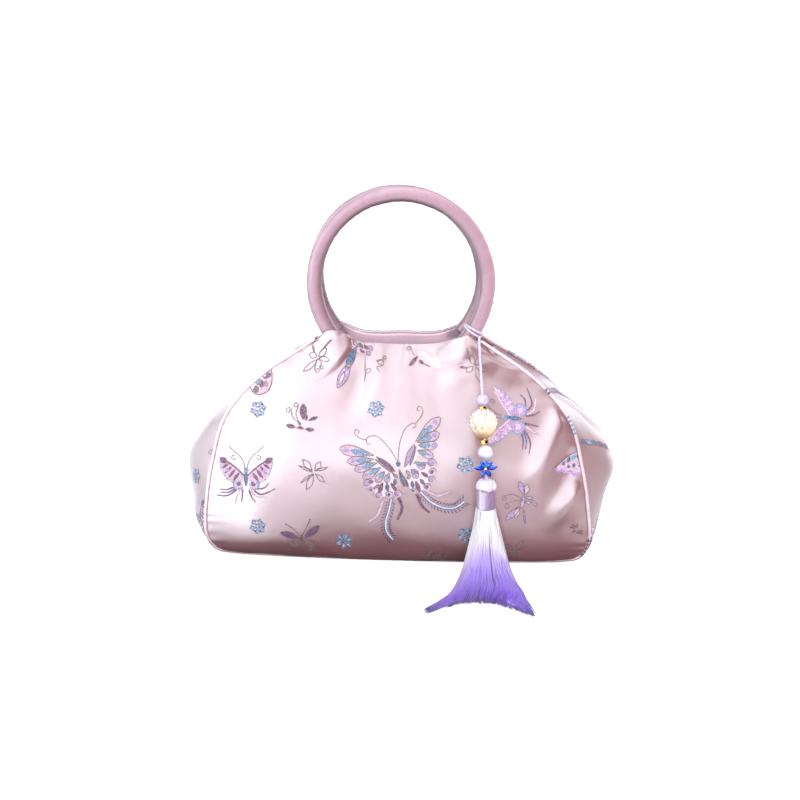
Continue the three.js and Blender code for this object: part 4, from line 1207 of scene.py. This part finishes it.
def seam_points(side, count=400):
    """The seam line of a panel: down from the right foot, along the bottom, up to the left foot."""
    third = np.linspace(0, 3, count)
    share = np.maximum.reduce([1 - third, third - 2, np.zeros(count)])
    row = section_at(share)
    right = np.clip(3 - 2 * third, -1, 1)
    depth = mix(row["belly_y"], row["seam_y"], np.abs(right) ** BELLY_POWER)
    drop = BACK_DROP * smooth(0.6, 1, share) * (side > 0)
    return np.stack([right * row["seam_x"], side * depth, row["seam_z"] - drop], -1)


def bias_strip(turn, share, length):
    wrinkles = np.sin(share * length * 1.1 + 2 * turn + 1.5 * np.sin(share * length * 0.23))
    return PIPING_RADIUS * (1 + 0.05 * wrinkles)


# The strip's satin is painted much paler than the body's, as light on the piping's shaded side.
strip_satin_painted_light = satin("piping_satin_painted_light", colour(208, 172, 182), colour(222, 192, 200))
for name, side in (("front", -1), ("back", 1)):
    piping_shape = new_shape()
    round_cord(piping_shape, seam_points(side), bias_strip, sides=12, steps=420)
    strip = piping_shape.loops.layers.uv["cloth"]
    for face in piping_shape.faces:
        around, share = face.loops[0][strip].uv
        for start, end, thread in PIPING_BITS[name]:
            if start < share < end and math.sin(1300 * share + 9 * around) > -0.5:
                face.material_index = 1 + THREADS.index(thread)
    piping = finished_piece("piping_" + name + "_strip", "satin_brocade", piping_shape, strip_satin_painted_light, *rayons)
    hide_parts("piping_" + name)


# Mouth facings: strips of soft pink leather sewn inside the mouth between the handles' feet, so that
# the gathered edge of the satin is bound.
FACING_WALL = 1.2
FACING_GAP = 0.25
FACING_SPLAY = 0.12  # outwards, to the fall of a strip that hangs free
FACING_TOP = 0.998  # share of the panel's height where a strip ends
# Columns: name, cloth, half width, depth of the strip as a share of the panel, how far it hangs free
FACINGS = (("front", front_cloth, 50.0, 0.16, 0.0), ("back", back_cloth, 47.0, 0.17, 1.0))


def painted(finish, name):
    """A node that reads a value held by the vertices of a piece."""
    made = node(finish, "ShaderNodeAttribute")
    made.attribute_name = name
    return made


def leather(name, deep, light, edge=None):
    """Soft leather with a fine pebbled grain and an even gloss; an edge colour, where given, paints shade
    along a seam.
    """
    finish, shader = new_finish(name, {
        "Roughness": 0.42,
        "Specular IOR Level": 0.7,
        "Sheen Weight": 0.12,
        "Sheen Roughness": 0.5,
    })
    place = node(finish, "ShaderNodeTexCoord")
    blotch = pattern(finish, "ShaderNodeTexNoise", place, Scale=60.0, Detail=5.0, Roughness=0.65)
    # An edge colour is mixed in by values held on the piece's vertices: dark edge paint and painted shade
    # along a seam.
    if edge:
        painted_shade = node(finish, "ShaderNodeMixRGB", Color2=edge)
        join(finish, painted(finish, "seam_shade"), "Fac", painted_shade, "Fac")
        tones(finish, blotch, painted_shade, "Color1", (0.3, deep), (0.68, light))
        join(finish, painted_shade, "Color", shader, "Base Color")
    else:
        tones(finish, blotch, shader, "Base Color", (0.3, deep), (0.68, light))
    pebble = pattern(finish, "ShaderNodeTexVoronoi", place, Scale=1400.0)
    grain = relief(finish, pebble, "Distance", 0.25)
    crease = pattern(finish, "ShaderNodeTexNoise", place, Scale=380.0, Detail=4.0, Roughness=0.6)
    lines = relief(finish, crease, "Fac", 0.3, 0.0004, grain)
    join(finish, lines, "Normal", shader, "Normal")
    return finish


# The facings' leather is painted much paler than the handles', as light inside the mouth where the facings
# lie in shade.
facing_leather_painted_light = leather("facing_leather_painted_light", colour(244, 204, 224), colour(251, 218, 235))


def laid_facing(cloth, half, deep, hang):
    """The inside of a panel's mouth, one wall in; where it hangs free it falls almost straight down."""
    def lining(flat_x, share):
        return cloth(flat_x, share) - (WALL + FACING_GAP) * normals_of(cloth, flat_x, share, 0.4, 0.002)

    def surface(across, up):
        flat_x = half * (2 * across - 1)
        edge = lining(flat_x, np.full_like(up, FACING_TOP))
        fall = (1 - up) * deep * PANEL_LENGTH
        straight = edge - np.stack([0 * fall, -FACING_SPLAY * fall, fall], -1)
        return mix(lining(flat_x, mix(1 - deep, FACING_TOP, up)), straight, hang)
    return surface


for name, cloth, half, deep, hang in FACINGS:
    facing_shape = new_shape()
    cloth_grid(facing_shape, columns=120, rows=26, surface=laid_facing(cloth, half, deep, hang))
    facing = finished_piece("facing_" + name + "_strip", "pink_leather", facing_shape, facing_leather_painted_light)
    thicken(facing, FACING_WALL)
    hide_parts("facing_" + name)


# Handles: two rings of pink leather sewn round a padded cord, their ends sewn into the mouth. The
# leather is creased across where it is bent, most on the inside of the ring. Along its seam, on the
# inside of the ring, it has dark edge paint, spread wide as painted shade over the ring's inner side.
HANDLE_RING = 55.3
HANDLE_CENTRE_Z = 178.0
HANDLE_RADIUS = 5.0
HANDLE_FOOT_Y = 17.0
HANDLE_FOOT_Z = 150.0
HANDLE_END_Z = 141.0
HANDLE_LEAN = 0.12
HANDLE_STEPS = 420
HANDLE_SIDES = 28
FRONT_HANDLE_SHIFT = 1.3  # of a ring's middle to the right
BACK_HANDLE_SHIFT = -1.4
CREASE_LENGTH = 2.7  # from one crease across the leather to the next
CREASE_DEPTH = 0.2
SEAM_WIDTH = 0.1  # of the sewn line inside the ring, in radians round the tube
SEAM_DEPTH = 0.35
SEAM_SHADE_WIDTH = 1.0  # of the dark edge paint and painted shade along it, over the ring's inner side
# Its third colour is the seam's dark edge paint, spread wide round the tube as painted shade on the ring's
# inner side.
pink_leather = leather("pink_leather", colour(166, 126, 142), colour(183, 143, 159), colour(88, 48, 52))
for name, side, shift in (("front", -1, FRONT_HANDLE_SHIFT), ("back", 1, BACK_HANDLE_SHIFT)):
    start = math.asin((HANDLE_END_Z - HANDLE_CENTRE_Z) / HANDLE_RING)
    out = Vector((math.cos(start), 0, math.sin(start)))
    section = Matrix((
        (out.x, 0, out.z, shift + HANDLE_RING * out.x),
        (0, 1, 0, 0),
        (out.z, 0, -out.x, HANDLE_CENTRE_Z + HANDLE_RING * out.z),
        (0, 0, 0, 1),
    ))
    handle_shape = new_shape()
    # Each vertex holds how much painted shade it takes, strongest at the seam on the ring's inner side.
    seam_shade_layer = handle_shape.verts.layers.float.new("seam_shade")
    ring = bmesh.ops.create_circle(handle_shape, segments=HANDLE_SIDES, radius=HANDLE_RADIUS, matrix=section)
    edges = {edge for vert in ring["verts"] for edge in vert.link_edges}
    bmesh.ops.spin(handle_shape, geom=[*ring["verts"], *edges], cent=(shift, 0, HANDLE_CENTRE_Z),
                   axis=(0, -1, 0), angle=math.pi - 2 * start, steps=HANDLE_STEPS)
    rims = [edge for edge in handle_shape.edges if edge.is_boundary]
    bmesh.ops.holes_fill(handle_shape, edges=rims, sides=0)
    bmesh.ops.recalc_face_normals(handle_shape, faces=handle_shape.faces)
    place = np.array([vert.co for vert in handle_shape.verts])
    across = place[:, 0] - shift
    rising = place[:, 2] - HANDLE_CENTRE_Z
    turn = np.arctan2(rising, across)
    turn = np.where(turn < -math.pi / 2, turn + 2 * math.pi, turn)
    ring_reach = np.hypot(across, rising) - HANDLE_RING
    round_turn = np.arctan2(place[:, 1], ring_reach)
    inner = 0.5 - 0.5 * np.cos(round_turn)
    reach = turn * HANDLE_RING
    wave = reach / CREASE_LENGTH + 0.45 * np.sin(0.61 * reach) + 0.12 * np.sin(2 * round_turn + 0.2 * reach)
    valley = (0.5 + 0.5 * np.cos(2 * math.pi * wave)) ** 5
    depth = CREASE_DEPTH * valley * (0.25 + 0.75 * inner) * (0.55 + 0.45 * np.sin(0.37 * reach + side))
    lumps = 0.05 * np.sin(0.9 * reach + round_turn) + 0.07 * np.sin(0.21 * reach - 2 * round_turn)
    to_seam = np.pi - np.abs(round_turn)
    sewn = SEAM_DEPTH * np.exp(-((to_seam / SEAM_WIDTH) ** 2))
    swell = 1 + (lumps - depth - sewn) / HANDLE_RADIUS
    new_reach = HANDLE_RING + ring_reach * swell
    x = shift + new_reach * np.cos(turn)
    z = HANDLE_CENTRE_Z + new_reach * np.sin(turn)
    lean = HANDLE_FOOT_Y - HANDLE_LEAN * np.maximum(z - HANDLE_FOOT_Z, 0)
    y = place[:, 1] * swell + side * lean
    # Painted shade: dark at the seam on the ring's inner side, fading round the tube.
    seam_shade_amount = np.exp(-((to_seam / SEAM_SHADE_WIDTH) ** 2))
    for vert, point, painted_shade in zip(handle_shape.verts, np.stack([x, y, z], -1) * MM, seam_shade_amount):
        vert.co = point
        vert[seam_shade_layer] = painted_shade
    handle = finished_piece("handle_" + name + "_ring", "pink_leather", handle_shape, pink_leather)
    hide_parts("handle_" + name)


# Charm cord: a lilac silk cord of three strands, hitched round the right foot of the front handle. It
# hangs down the front through the beads to the tassel's knot.
CORD_RADIUS = 0.8
CORD_STRANDS = 3
CORD_PITCH = 4.2  # length of one turn of the strands
STRING = np.array([
    (51.8, -25.6, 145.8),
    (52.1, -30.0, 140.6),
    (53.2, -40.5, 126.5),
    (54.5, -50.0, 111.0),
    (55.4, -55.5, 96.5),
    (56.8, -61.8, 80.0),
    (57.4, -64.7, 70.0),
    (57.6, -65.4, 61.6),
])
WRAP_Z = 148.6
WRAP_OFFSETS = (-0.8, 0.8)
WRAP_SLACK = 0.35


def through(points, steps):
    """A smooth line through points in space, with as many steps between each two."""
    chain = np.concatenate([[2 * points[0] - points[1]], points, [2 * points[-1] - points[-2]]])
    path = []
    for before, start, end, after in zip(chain, chain[1:], chain[2:], chain[3:]):
        path += [bend(before, start, end, after, share) for share in np.arange(steps) / steps]
    return np.array([*path, points[-1]])


def twisted(turn, share, length):
    lay = CORD_STRANDS * (turn - 2 * np.pi * share * length / CORD_PITCH)
    return CORD_RADIUS * (0.93 + 0.13 * np.cos(lay))


def silk(name, deep, main, light, grain, gloss=None):
    """Silk thread: fine threads along it and a soft sheen, or the gloss that is given."""
    finish, shader = new_finish(name, {
        "Roughness": 0.4,
        "Specular IOR Level": 0.5,
        "Sheen Weight": 0.35,
        "Sheen Roughness": 0.3,
        **(gloss or {}),
    })
    place = node(finish, "ShaderNodeTexCoord")
    speckle = pattern(finish, "ShaderNodeTexNoise", place, Scale=grain, Detail=3.0)
    tones(finish, speckle, shader, "Base Color", (0.34, deep), (0.5, main), (0.66, light))
    join(finish, relief(finish, speckle, "Fac", 0.3), "Normal", shader, "Normal")
    return finish


lilac_silk = silk("lilac_silk", colour(190, 170, 206), colour(218, 204, 230), colour(240, 234, 246), 1600.0)
string_path = through(STRING, 24)
cord_shape = new_shape()
cord_length = round_cord(cord_shape, string_path, twisted, sides=15, steps=520)
cord = finished_piece("charm_string", "lilac_cord", cord_shape, lilac_silk)
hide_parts("charm_cord")

wrap_turn = math.asin((WRAP_Z - HANDLE_CENTRE_Z) / HANDLE_RING)
wrap_centre = np.array([FRONT_HANDLE_SHIFT + HANDLE_RING * math.cos(wrap_turn), -HANDLE_FOOT_Y, WRAP_Z])
wrap_axis = np.array([-math.sin(wrap_turn), 0, math.cos(wrap_turn)])
wrap_side = np.array([math.cos(wrap_turn), 0, math.sin(wrap_turn)])
wrap_reach = HANDLE_RADIUS + CORD_RADIUS + WRAP_SLACK
wrap_shape = new_shape()
for offset in WRAP_OFFSETS:
    turns = np.linspace(0, 2 * np.pi, 90)[:, None]
    loop = wrap_centre + wrap_axis * (offset + 0.5 * np.cos(turns - 0.8) * np.sign(offset))
    loop = loop + wrap_reach * (np.cos(turns) * wrap_side + np.sin(turns) * np.array([0, -1.0, 0]))
    round_cord(wrap_shape, loop, twisted, sides=12, steps=260)
wrap = finished_piece("cord_hitch", "lilac_cord", wrap_shape, lilac_silk)
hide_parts("cord_wrap")


# Round beads: a polished ball of milky lavender glass and a white pearl, both drilled along the
# cord, with a turned gilt ring between neighbours.
BEAD_GAP = 0.3
STRING_TO_LAVENDER = 42.8  # length of free cord above the middle of the first bead
DRILL = 1.2
LAVENDER_RADIUS = 4.0
PEARL_RADIUS = 4.75
BEAD_SIDES = 40
# Columns: name, half of its length on the cord
BEADS = (("lavender", 3.82), ("upper_ring", 0.8), ("lotus", 9.2), ("lower_ring", 1.4), ("pearl", 4.61),
         ("flower", 4.9))
string_at, string_length = along_path(string_path)
bead_frames = {}
reach = STRING_TO_LAVENDER - BEADS[0][1]
for name, half in BEADS:
    reach += half
    place, way, _, _ = string_at(np.array([reach / string_length]))
    up = Vector(-way[0])
    right = (Vector((1, 0, 0)) - up * up.x).normalized()
    away = up.cross(right)
    middle = Vector(place[0] * MM)
    bead_frames[name] = Matrix.Translation(middle) @ Matrix((right, away, up)).transposed().to_4x4()
    reach += half + BEAD_GAP


def turned_bead(shape, profile, sides, frame):
    """Turns a closed profile of radii and heights round the bead's own axis and puts it on the cord."""
    verts = [shape.verts.new((radius * MM, 0, height * MM)) for radius, height in profile]
    edges = [shape.edges.new((start, end)) for start, end in zip(verts, verts[1:] + verts[:1])]
    bmesh.ops.spin(shape, geom=[*verts, *edges], cent=(0, 0, 0), axis=(0, 0, 1), angle=2 * math.pi,
                   steps=sides, use_merge=True)
    bmesh.ops.remove_doubles(shape, verts=shape.verts, dist=1e-7)
    bmesh.ops.recalc_face_normals(shape, faces=shape.faces)
    bmesh.ops.transform(shape, matrix=frame, verts=shape.verts)


def drilled_ball(radius, point):
    """The profile of a ball with a drilled hole, drawn to a slight point at its upper end."""
    end = math.acos(DRILL / radius)
    turns = [mix(-end, end, k / 24) for k in range(25)]
    return [(radius * math.cos(turn) * (1 - point * max(math.sin(turn), 0) ** 3), radius * math.sin(turn))
            for turn in turns]


def clouded(name, settings, scale, detail, *stops):
    """A finish with a soft cloud of tones in it."""
    finish, shader = new_finish(name, settings)
    place = node(finish, "ShaderNodeTexCoord")
    cloud = pattern(finish, "ShaderNodeTexNoise", place, Scale=scale, Detail=detail)
    tones(finish, cloud, shader, "Base Color", *stops)
    return finish


lavender_glass = clouded("lavender_glass", {
    "Roughness": 0.08,
    "IOR": 1.5,
    "Transmission Weight": 0.35,
    "Subsurface Weight": 0.3,
    "Subsurface Radius": (0.003, 0.002, 0.004),
    "Coat Weight": 0.6,
    "Coat Roughness": 0.05,
}, 260.0, 3.0, (0.35, colour(212, 194, 240)), (0.68, colour(238, 230, 251)))
pearl_coat = clouded("pearl_coat", {
    "Roughness": 0.22,
    "Specular IOR Level": 0.7,
    "Coat Weight": 0.7,
    "Coat Roughness": 0.06,
    "Sheen Weight": 0.3,
    "Sheen Tint": colour(230, 222, 255),
}, 150.0, 2.0, (0.3, colour(204, 203, 216)), (0.7, colour(226, 226, 236)))
gilt = clouded("gilt", {"Metallic": 1.0, "Roughness": 0.22}, 700.0, 3.0,
               (0.3, colour(196, 142, 52)), (0.7, colour(236, 190, 92)))


def ring_profile(outer, half):
    return [(DRILL, -half), (outer * 0.8, -half), (outer, -half * 0.55), (outer * 0.86, 0),
            (outer, half * 0.55), (outer * 0.8, half), (DRILL, half)]


# Columns: piece, CAD node, record slot, place on the cord, profile, finish
ROUND_BEADS = (
    ("lavender_ball", "lavender_bead", "lavender_stone", "lavender", drilled_ball(LAVENDER_RADIUS, 0),
     lavender_glass),
    ("upper_gilt_ring", "spacer_upper", "gilt", "upper_ring", ring_profile(2.3, 0.8), gilt),
    ("lower_gilt_ring", "spacer_lower", "gilt", "lower_ring", ring_profile(2.4, 1.4), gilt),
    ("pearl_ball", "pearl_bead", "pearl", "pearl", drilled_ball(PEARL_RADIUS, 0.1), pearl_coat),
)
for piece_name, cad_node, slot, bead, profile, finish in ROUND_BEADS:
    bead_shape = new_shape()
    turned_bead(bead_shape, profile, BEAD_SIDES, bead_frames[bead])
    round_bead = finished_piece(piece_name, slot, bead_shape, finish)
    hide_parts(cad_node)


# Lotus bead: carved from cream resin as rings of pointed petals that close round a bud, drilled
# along the cord. It is painted tan as shade towards its foot, on its core between the petals and at
# the petals' bases, and cream towards its top and the petals' tips.
LOTUS_CORE = 6.9
LOTUS_HALF = 8.4
LOTUS_PETAL_WALL = 0.5
# Columns: petals, start angle and end angle from the foot, width, lift of the tips, turn
LOTUS_RINGS = (
    (9, 14, 76, 7.6, 0.5, 0.0),
    (11, 60, 97, 5.0, 1.6, 0.2),
    (11, 74, 111, 4.9, 1.9, 0.5),
    (10, 88, 124, 4.8, 2.0, 0.1),
    (9, 102, 137, 4.6, 2.0, 0.4),
    (8, 116, 148, 4.3, 1.9, 0.0),
    (7, 130, 158, 3.9, 1.7, 0.3),
    (5, 143, 168, 3.4, 1.4, 0.1),
    (4, 157, 176, 2.6, 1.0, 0.7),
)
lotus_shape = new_shape()
# Painted shade held on the vertices: low towards the foot and on the core between the petals, high towards
# the top and the petals' tips.
lotus_shade_layer = lotus_shape.verts.layers.float.new("tint")
lotus_core = bmesh.ops.create_uvsphere(lotus_shape, u_segments=32, v_segments=20, radius=LOTUS_CORE * MM)
for vert in lotus_core["verts"]:
    vert.co.z *= LOTUS_HALF / LOTUS_CORE * 0.97
    vert[lotus_shade_layer] = 0.3 + 0.25 * vert.co.z / (LOTUS_HALF * MM)
for count, start, end, width, lift, turn in LOTUS_RINGS:
    for k in range(count):
        petal = bmesh.ops.create_grid(lotus_shape, x_segments=8, y_segments=9, size=1)
        for vert in petal["verts"]:
            across, along = vert.co.x, (vert.co.y + 1) / 2
            angle = math.radians(mix(start, end, along))
            wide = width / 2 * math.sin(math.pi * (0.2 + 0.8 * along)) ** 0.75 * (1 - 0.25 * along)
            reach = LOTUS_CORE + 0.5 + lift * along**2 - 0.9 * across**2 * (1 - 0.6 * along)
            round_turn = turn + 2 * math.pi * k / count
            round_turn += across * wide / max(LOTUS_CORE * math.sin(angle), 1.6)
            rise = -math.cos(angle) * (reach + (LOTUS_HALF - LOTUS_CORE) * abs(math.cos(angle)))
            vert.co = (reach * math.sin(angle) * math.cos(round_turn) * MM,
                       reach * math.sin(angle) * math.sin(round_turn) * MM, rise * MM)
            vert[lotus_shade_layer] = 0.55 + 0.36 * rise / LOTUS_HALF + 0.32 * (along - 0.5)
bmesh.ops.transform(lotus_shape, matrix=bead_frames["lotus"], verts=lotus_shape.verts)
cream_resin, cream_shader = new_finish("cream_resin", {
    "Roughness": 0.38,
    "Specular IOR Level": 0.5,
    "Subsurface Weight": 0.25,
    "Subsurface Radius": (0.003, 0.002, 0.0015),
    "Coat Weight": 0.15,
})
# Painted shade: tan where those values are low, cream where they are high.
tones(cream_resin, painted(cream_resin, "tint"), cream_shader, "Base Color",
      (0.05, colour(200, 156, 104)), (0.3, colour(230, 200, 156)),
      (0.55, colour(246, 234, 212)), (0.9, colour(252, 248, 240)))
cream_place = node(cream_resin, "ShaderNodeTexCoord")
cream_cuts = pattern(cream_resin, "ShaderNodeTexNoise", cream_place, Scale=500.0, Detail=3.0)
cream_relief = relief(cream_resin, cream_cuts, "Fac", 0.2, 0.0003)
join(cream_resin, cream_relief, "Normal", cream_shader, "Normal")
lotus = finished_piece("lotus_carving", "carved_lotus", lotus_shape, cream_resin)
thicken(lotus, LOTUS_PETAL_WALL)
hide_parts("lotus_bead")


# Flower charm: a stamped gilt flower whose leaf shaped cells are filled with blue enamel, with a
# gilt boss in the middle. It hangs in front of the cord.
FLOWER_OUT = 2.6  # its face, from the middle of the cord towards the front
FLOWER_WALL = 1.4
# Columns: angle, length, width
FLOWER_PETALS = ((88, 5.2, 2.6), (48, 5.9, 2.7), (126, 5.7, 2.7), (10, 7.2, 2.9), (172, 7.4, 2.9),
                 (238, 5.6, 2.8), (300, 5.6, 2.8))
PETAL_START = 0.6
RIM_WIDTH = 0.46
ENAMEL_DEPTH = 0.3  # of the enamel's edge below the rim
ENAMEL_CROWN = 0.15  # of its middle above its edge
BOSS_RADIUS = 1.15
BOSS_OUT = 0.2
flower_shape = new_shape()
for petal, (angle, length, width) in enumerate(FLOWER_PETALS):
    cell = bmesh.ops.create_circle(flower_shape, cap_ends=True, segments=24, radius=1)
    ahead = cmath.rect(1, math.radians(angle))
    for vert in cell["verts"]:
        along = (vert.co.x + 1) / 2
        half = width * 0.5 * (math.sin(math.pi * along) ** 0.85 + 0.02)
        side = math.copysign(1, vert.co.y) * (abs(vert.co.y) > 1e-6)
        spot = ahead * complex(mix(PETAL_START, length, along), half * side)
        lift = 0.12 * (petal % 3) + 0.5 * along * along
        vert.co = (spot.real * MM, -(FLOWER_OUT + lift) * MM, spot.imag * MM)
    face = cell["verts"][0].link_faces[0]
    bmesh.ops.inset_region(flower_shape, faces=[face], thickness=RIM_WIDTH * MM, depth=0)
    face.material_index = 1
    for vert in face.verts:
        vert.co.y += ENAMEL_DEPTH * MM
    crown = bmesh.ops.poke(flower_shape, faces=[face])
    for vert in crown["verts"]:
        vert.co.y -= ENAMEL_CROWN * MM
    for part in crown["faces"]:
        part.material_index = 1
bmesh.ops.recalc_face_normals(flower_shape, faces=flower_shape.faces)
bmesh.ops.create_uvsphere(flower_shape, u_segments=16, v_segments=10, radius=BOSS_RADIUS * MM,
                          matrix=Matrix.Translation((0, -(FLOWER_OUT + BOSS_OUT) * MM, 0)))
bmesh.ops.transform(flower_shape, matrix=bead_frames["flower"], verts=flower_shape.verts)
enamel = clouded("blue_enamel", {
    "Roughness": 0.16,
    "Specular IOR Level": 0.3,
    "Coat Weight": 0.4,
    "Coat Roughness": 0.04,
}, 330.0, 2.0, (0.36, colour(4, 28, 150)), (0.52, colour(6, 72, 212)), (0.66, colour(18, 126, 244)))
flower = finished_piece("enamel_flower", "blue_enamel", flower_shape, gilt, enamel)
thicken(flower, FLOWER_WALL)
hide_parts("flower_charm")


# Tassel head and band: white silk drawn over a knot into a dome, crossed by three lilac threads, and
# a neck wound close with lilac silk.
TASSEL_X = 57.6
TASSEL_Y = -65.4
BAND_BOTTOM = 46.0
BAND_TOP = 58.2
BAND_RADIUS = 5.6
BAND_WALL = 0.6
WINDINGS = 34
# Columns: radius, height
HEAD_PROFILE = np.array([
    (4.0, 46.0), (4.0, 58.2), (5.7, 58.7), (6.25, 60.2), (5.9, 61.8), (4.9, 63.4), (3.2, 64.4), (1.2, 64.8),
])
CROSSING_TURNS = (-2.1, -1.35, -0.6)
CROSSING_RADIUS = 0.34
# Where a crossing thread runs over the head: share of its length, distance from the axis, height
CROSSING_SHARES = (0, 0.3, 0.6, 0.85, 1)
CROSSING_REACH = (6.3, 6.75, 6.0, 4.1, 2.0)
CROSSING_HEIGHT = (58.6, 60.4, 62.8, 64.6, 65.4)
white_silk = silk("white_silk", colour(212, 206, 228), colour(230, 226, 242), colour(246, 244, 252), 1500.0)
head_line = through(np.column_stack([HEAD_PROFILE, np.zeros(len(HEAD_PROFILE))]), 6)


def round_tassel(radius, turn, height):
    """Points round the tassel's upright axis."""
    return np.stack([TASSEL_X + radius * np.cos(turn), TASSEL_Y + radius * np.sin(turn), height], -1)


def head_surface(across, up):
    place = up * (len(head_line) - 1)
    radius = np.interp(place, np.arange(len(head_line)), head_line[:, 0])
    height = np.interp(place, np.arange(len(head_line)), head_line[:, 1])
    turn = 2 * np.pi * across
    radius = radius * (1 + 0.018 * np.cos(30 * turn + 3 * up) + 0.012 * np.cos(11 * turn))
    return round_tassel(radius, turn, height)


head_shape = new_shape()
head_verts = cloth_grid(head_shape, columns=120, rows=42, surface=head_surface)
bmesh.ops.remove_doubles(head_shape, verts=head_verts, dist=1e-6)
bmesh.ops.holes_fill(head_shape, edges=[edge for edge in head_shape.edges if edge.is_boundary], sides=0)
bmesh.ops.recalc_face_normals(head_shape, faces=head_shape.faces)
head = finished_piece("tassel_knot", "tassel_silk", head_shape, white_silk)
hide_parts("tassel_head")

band_silk = silk("band_silk", colour(118, 88, 126), colour(140, 108, 148), colour(168, 138, 174), 2400.0,
                 {"Roughness": 0.3, "IOR": 1.9, "Specular IOR Level": 1.0})


def band_surface(across, up):
    turn = 2 * np.pi * across
    wound = np.abs(np.sin(np.pi * (up * WINDINGS + across)))
    ends = smooth(0, 0.06, up) * (1 - smooth(0.94, 1, up))
    radius = BAND_RADIUS - 0.5 + 0.38 * ends + 0.12 * wound
    return round_tassel(radius, turn, mix(BAND_BOTTOM, BAND_TOP, up))


band_shape = new_shape()
band_verts = cloth_grid(band_shape, columns=56, rows=WINDINGS * 6, surface=band_surface)
bmesh.ops.remove_doubles(band_shape, verts=band_verts, dist=1e-6)
band = finished_piece("tassel_winding", "band_silk", band_shape, band_silk)
thicken(band, BAND_WALL)
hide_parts("tassel_band")


def even_thread(turn, share, length):
    return np.full_like(share, CROSSING_RADIUS)


thread_shape = new_shape()
for k, turn in enumerate(CROSSING_TURNS):
    rise = np.linspace(0, 1, 24)
    reach = np.interp(rise, CROSSING_SHARES, CROSSING_REACH)
    height = np.interp(rise, CROSSING_SHARES, CROSSING_HEIGHT)
    around = turn + 0.9 * rise * (1 if k % 2 else -1)
    round_cord(thread_shape, round_tassel(reach, around, height), even_thread, sides=6, steps=40)
finished_piece("crossing_threads", "band_silk", thread_shape, lilac_silk)


# Tassel skirt: several hundred silk threads, dipped from white to deep purple. They hang from the
# winding, meet the floor and lie forward on it, parted into a fishtail.
THREAD_COUNT = 900
THREAD_RADIUS = 0.42
THREAD_STEPS = 26
THREAD_SIDES = 3
FISHTAIL_LEFT = -33  # of the threads' ends from the tassel's middle
FISHTAIL_RIGHT = 27
FISHTAIL_Y = -103  # of the ends in the middle
FISHTAIL_REACH = 15  # how much further forward the outer ends lie
FLOOR_GAP = 0.5  # of a thread's middle from the floor, at least
# Columns: y, z, tilt of the section, half width, half depth
SKIRT_SECTIONS = (
    (TASSEL_Y, 46.2, 0, 5.4, 5.4),
    (TASSEL_Y - 0.6, 34.0, 2, 7.2, 6.6),
    (TASSEL_Y - 1.8, 21.0, 10, 10.0, 7.8),
    (TASSEL_Y - 6.5, 10.6, 42, 12.8, 8.0),
    (TASSEL_Y - 18, 5.4, 78, 16.0, 4.9),
    (TASSEL_Y - 30, 3.4, 86, 19.5, 3.3),
)


def strand(path):
    """A silk thread along a line, thinner at its end."""
    at, _ = along_path(path)

    def surface(across, up):
        place, _, square, other = at(up)
        around = 2 * np.pi * across
        thick = THREAD_RADIUS * (1 - 0.5 * smooth(0.9, 1, up))[:, None]
        return place + thick * (np.cos(around)[:, None] * square + np.sin(around)[:, None] * other)
    return surface


chance = random.Random(7)
skirt_shape = new_shape()
dip_layer = skirt_shape.verts.layers.float.new("dip")
for k in range(THREAD_COUNT):
    share = chance.uniform(-0.04, 1.04)
    turn = math.pi * (1 - share) + chance.gauss(0, 0.03)
    deep = 1 - 0.75 * chance.random() ** 2
    rank = min(max(share, 0), 1)  # from the left end of the fishtail to the right
    points = []
    for y, z, tilt, half_wide, half_deep in SKIRT_SECTIONS:
        lean = math.radians(tilt)
        across = half_wide * deep * math.cos(turn) * (1 + 0.2 * (turn < math.pi / 2) * (half_wide > 6))
        outwards = half_deep * deep * math.sin(turn)
        points.append((TASSEL_X + across, y - outwards * math.cos(lean), z + outwards * math.sin(lean)))
    end_x = TASSEL_X + mix(FISHTAIL_LEFT, FISHTAIL_RIGHT, rank) + chance.gauss(0, 1.6)
    end_y = FISHTAIL_Y - FISHTAIL_REACH * (2 * rank - 1) ** 2 + chance.gauss(0, 1.6)
    last = points[-1]
    points.append(((last[0] + end_x) / 2, (last[1] + end_y) / 2, max(1.6, last[2] * 0.6)))
    points.append((end_x, end_y, chance.uniform(0.5, 1.5)))
    path = through(np.array(points), 8)
    path[:, 0] += 0.25 * np.sin(np.linspace(0, 9, len(path)) + k)
    path[:, 2] = np.maximum(path[:, 2], FLOOR_GAP)
    verts = cloth_grid(skirt_shape, THREAD_SIDES, THREAD_STEPS, strand(path))
    shift = chance.gauss(0, 0.055)
    for row, vert in enumerate(verts):
        vert[dip_layer] = row // (THREAD_SIDES + 1) / THREAD_STEPS + shift
bmesh.ops.recalc_face_normals(skirt_shape, faces=skirt_shape.faces)
dipped_silk, dipped_shader = new_finish("dipped_silk", {
    "Roughness": 0.38,
    "IOR": 1.8,
    "Specular IOR Level": 0.8,
    "Sheen Weight": 0.3,
})
tones(dipped_silk, painted(dipped_silk, "dip"), dipped_shader, "Base Color",
      (0.3, colour(253, 251, 255)), (0.43, colour(222, 204, 250)), (0.6, colour(190, 158, 242)),
      (0.8, colour(158, 116, 228)), (0.93, colour(126, 80, 206)), (0.995, colour(94, 44, 172)))
skirt = finished_piece("tassel_threads", "tassel_silk", skirt_shape, dipped_silk)
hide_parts("tassel_skirt")
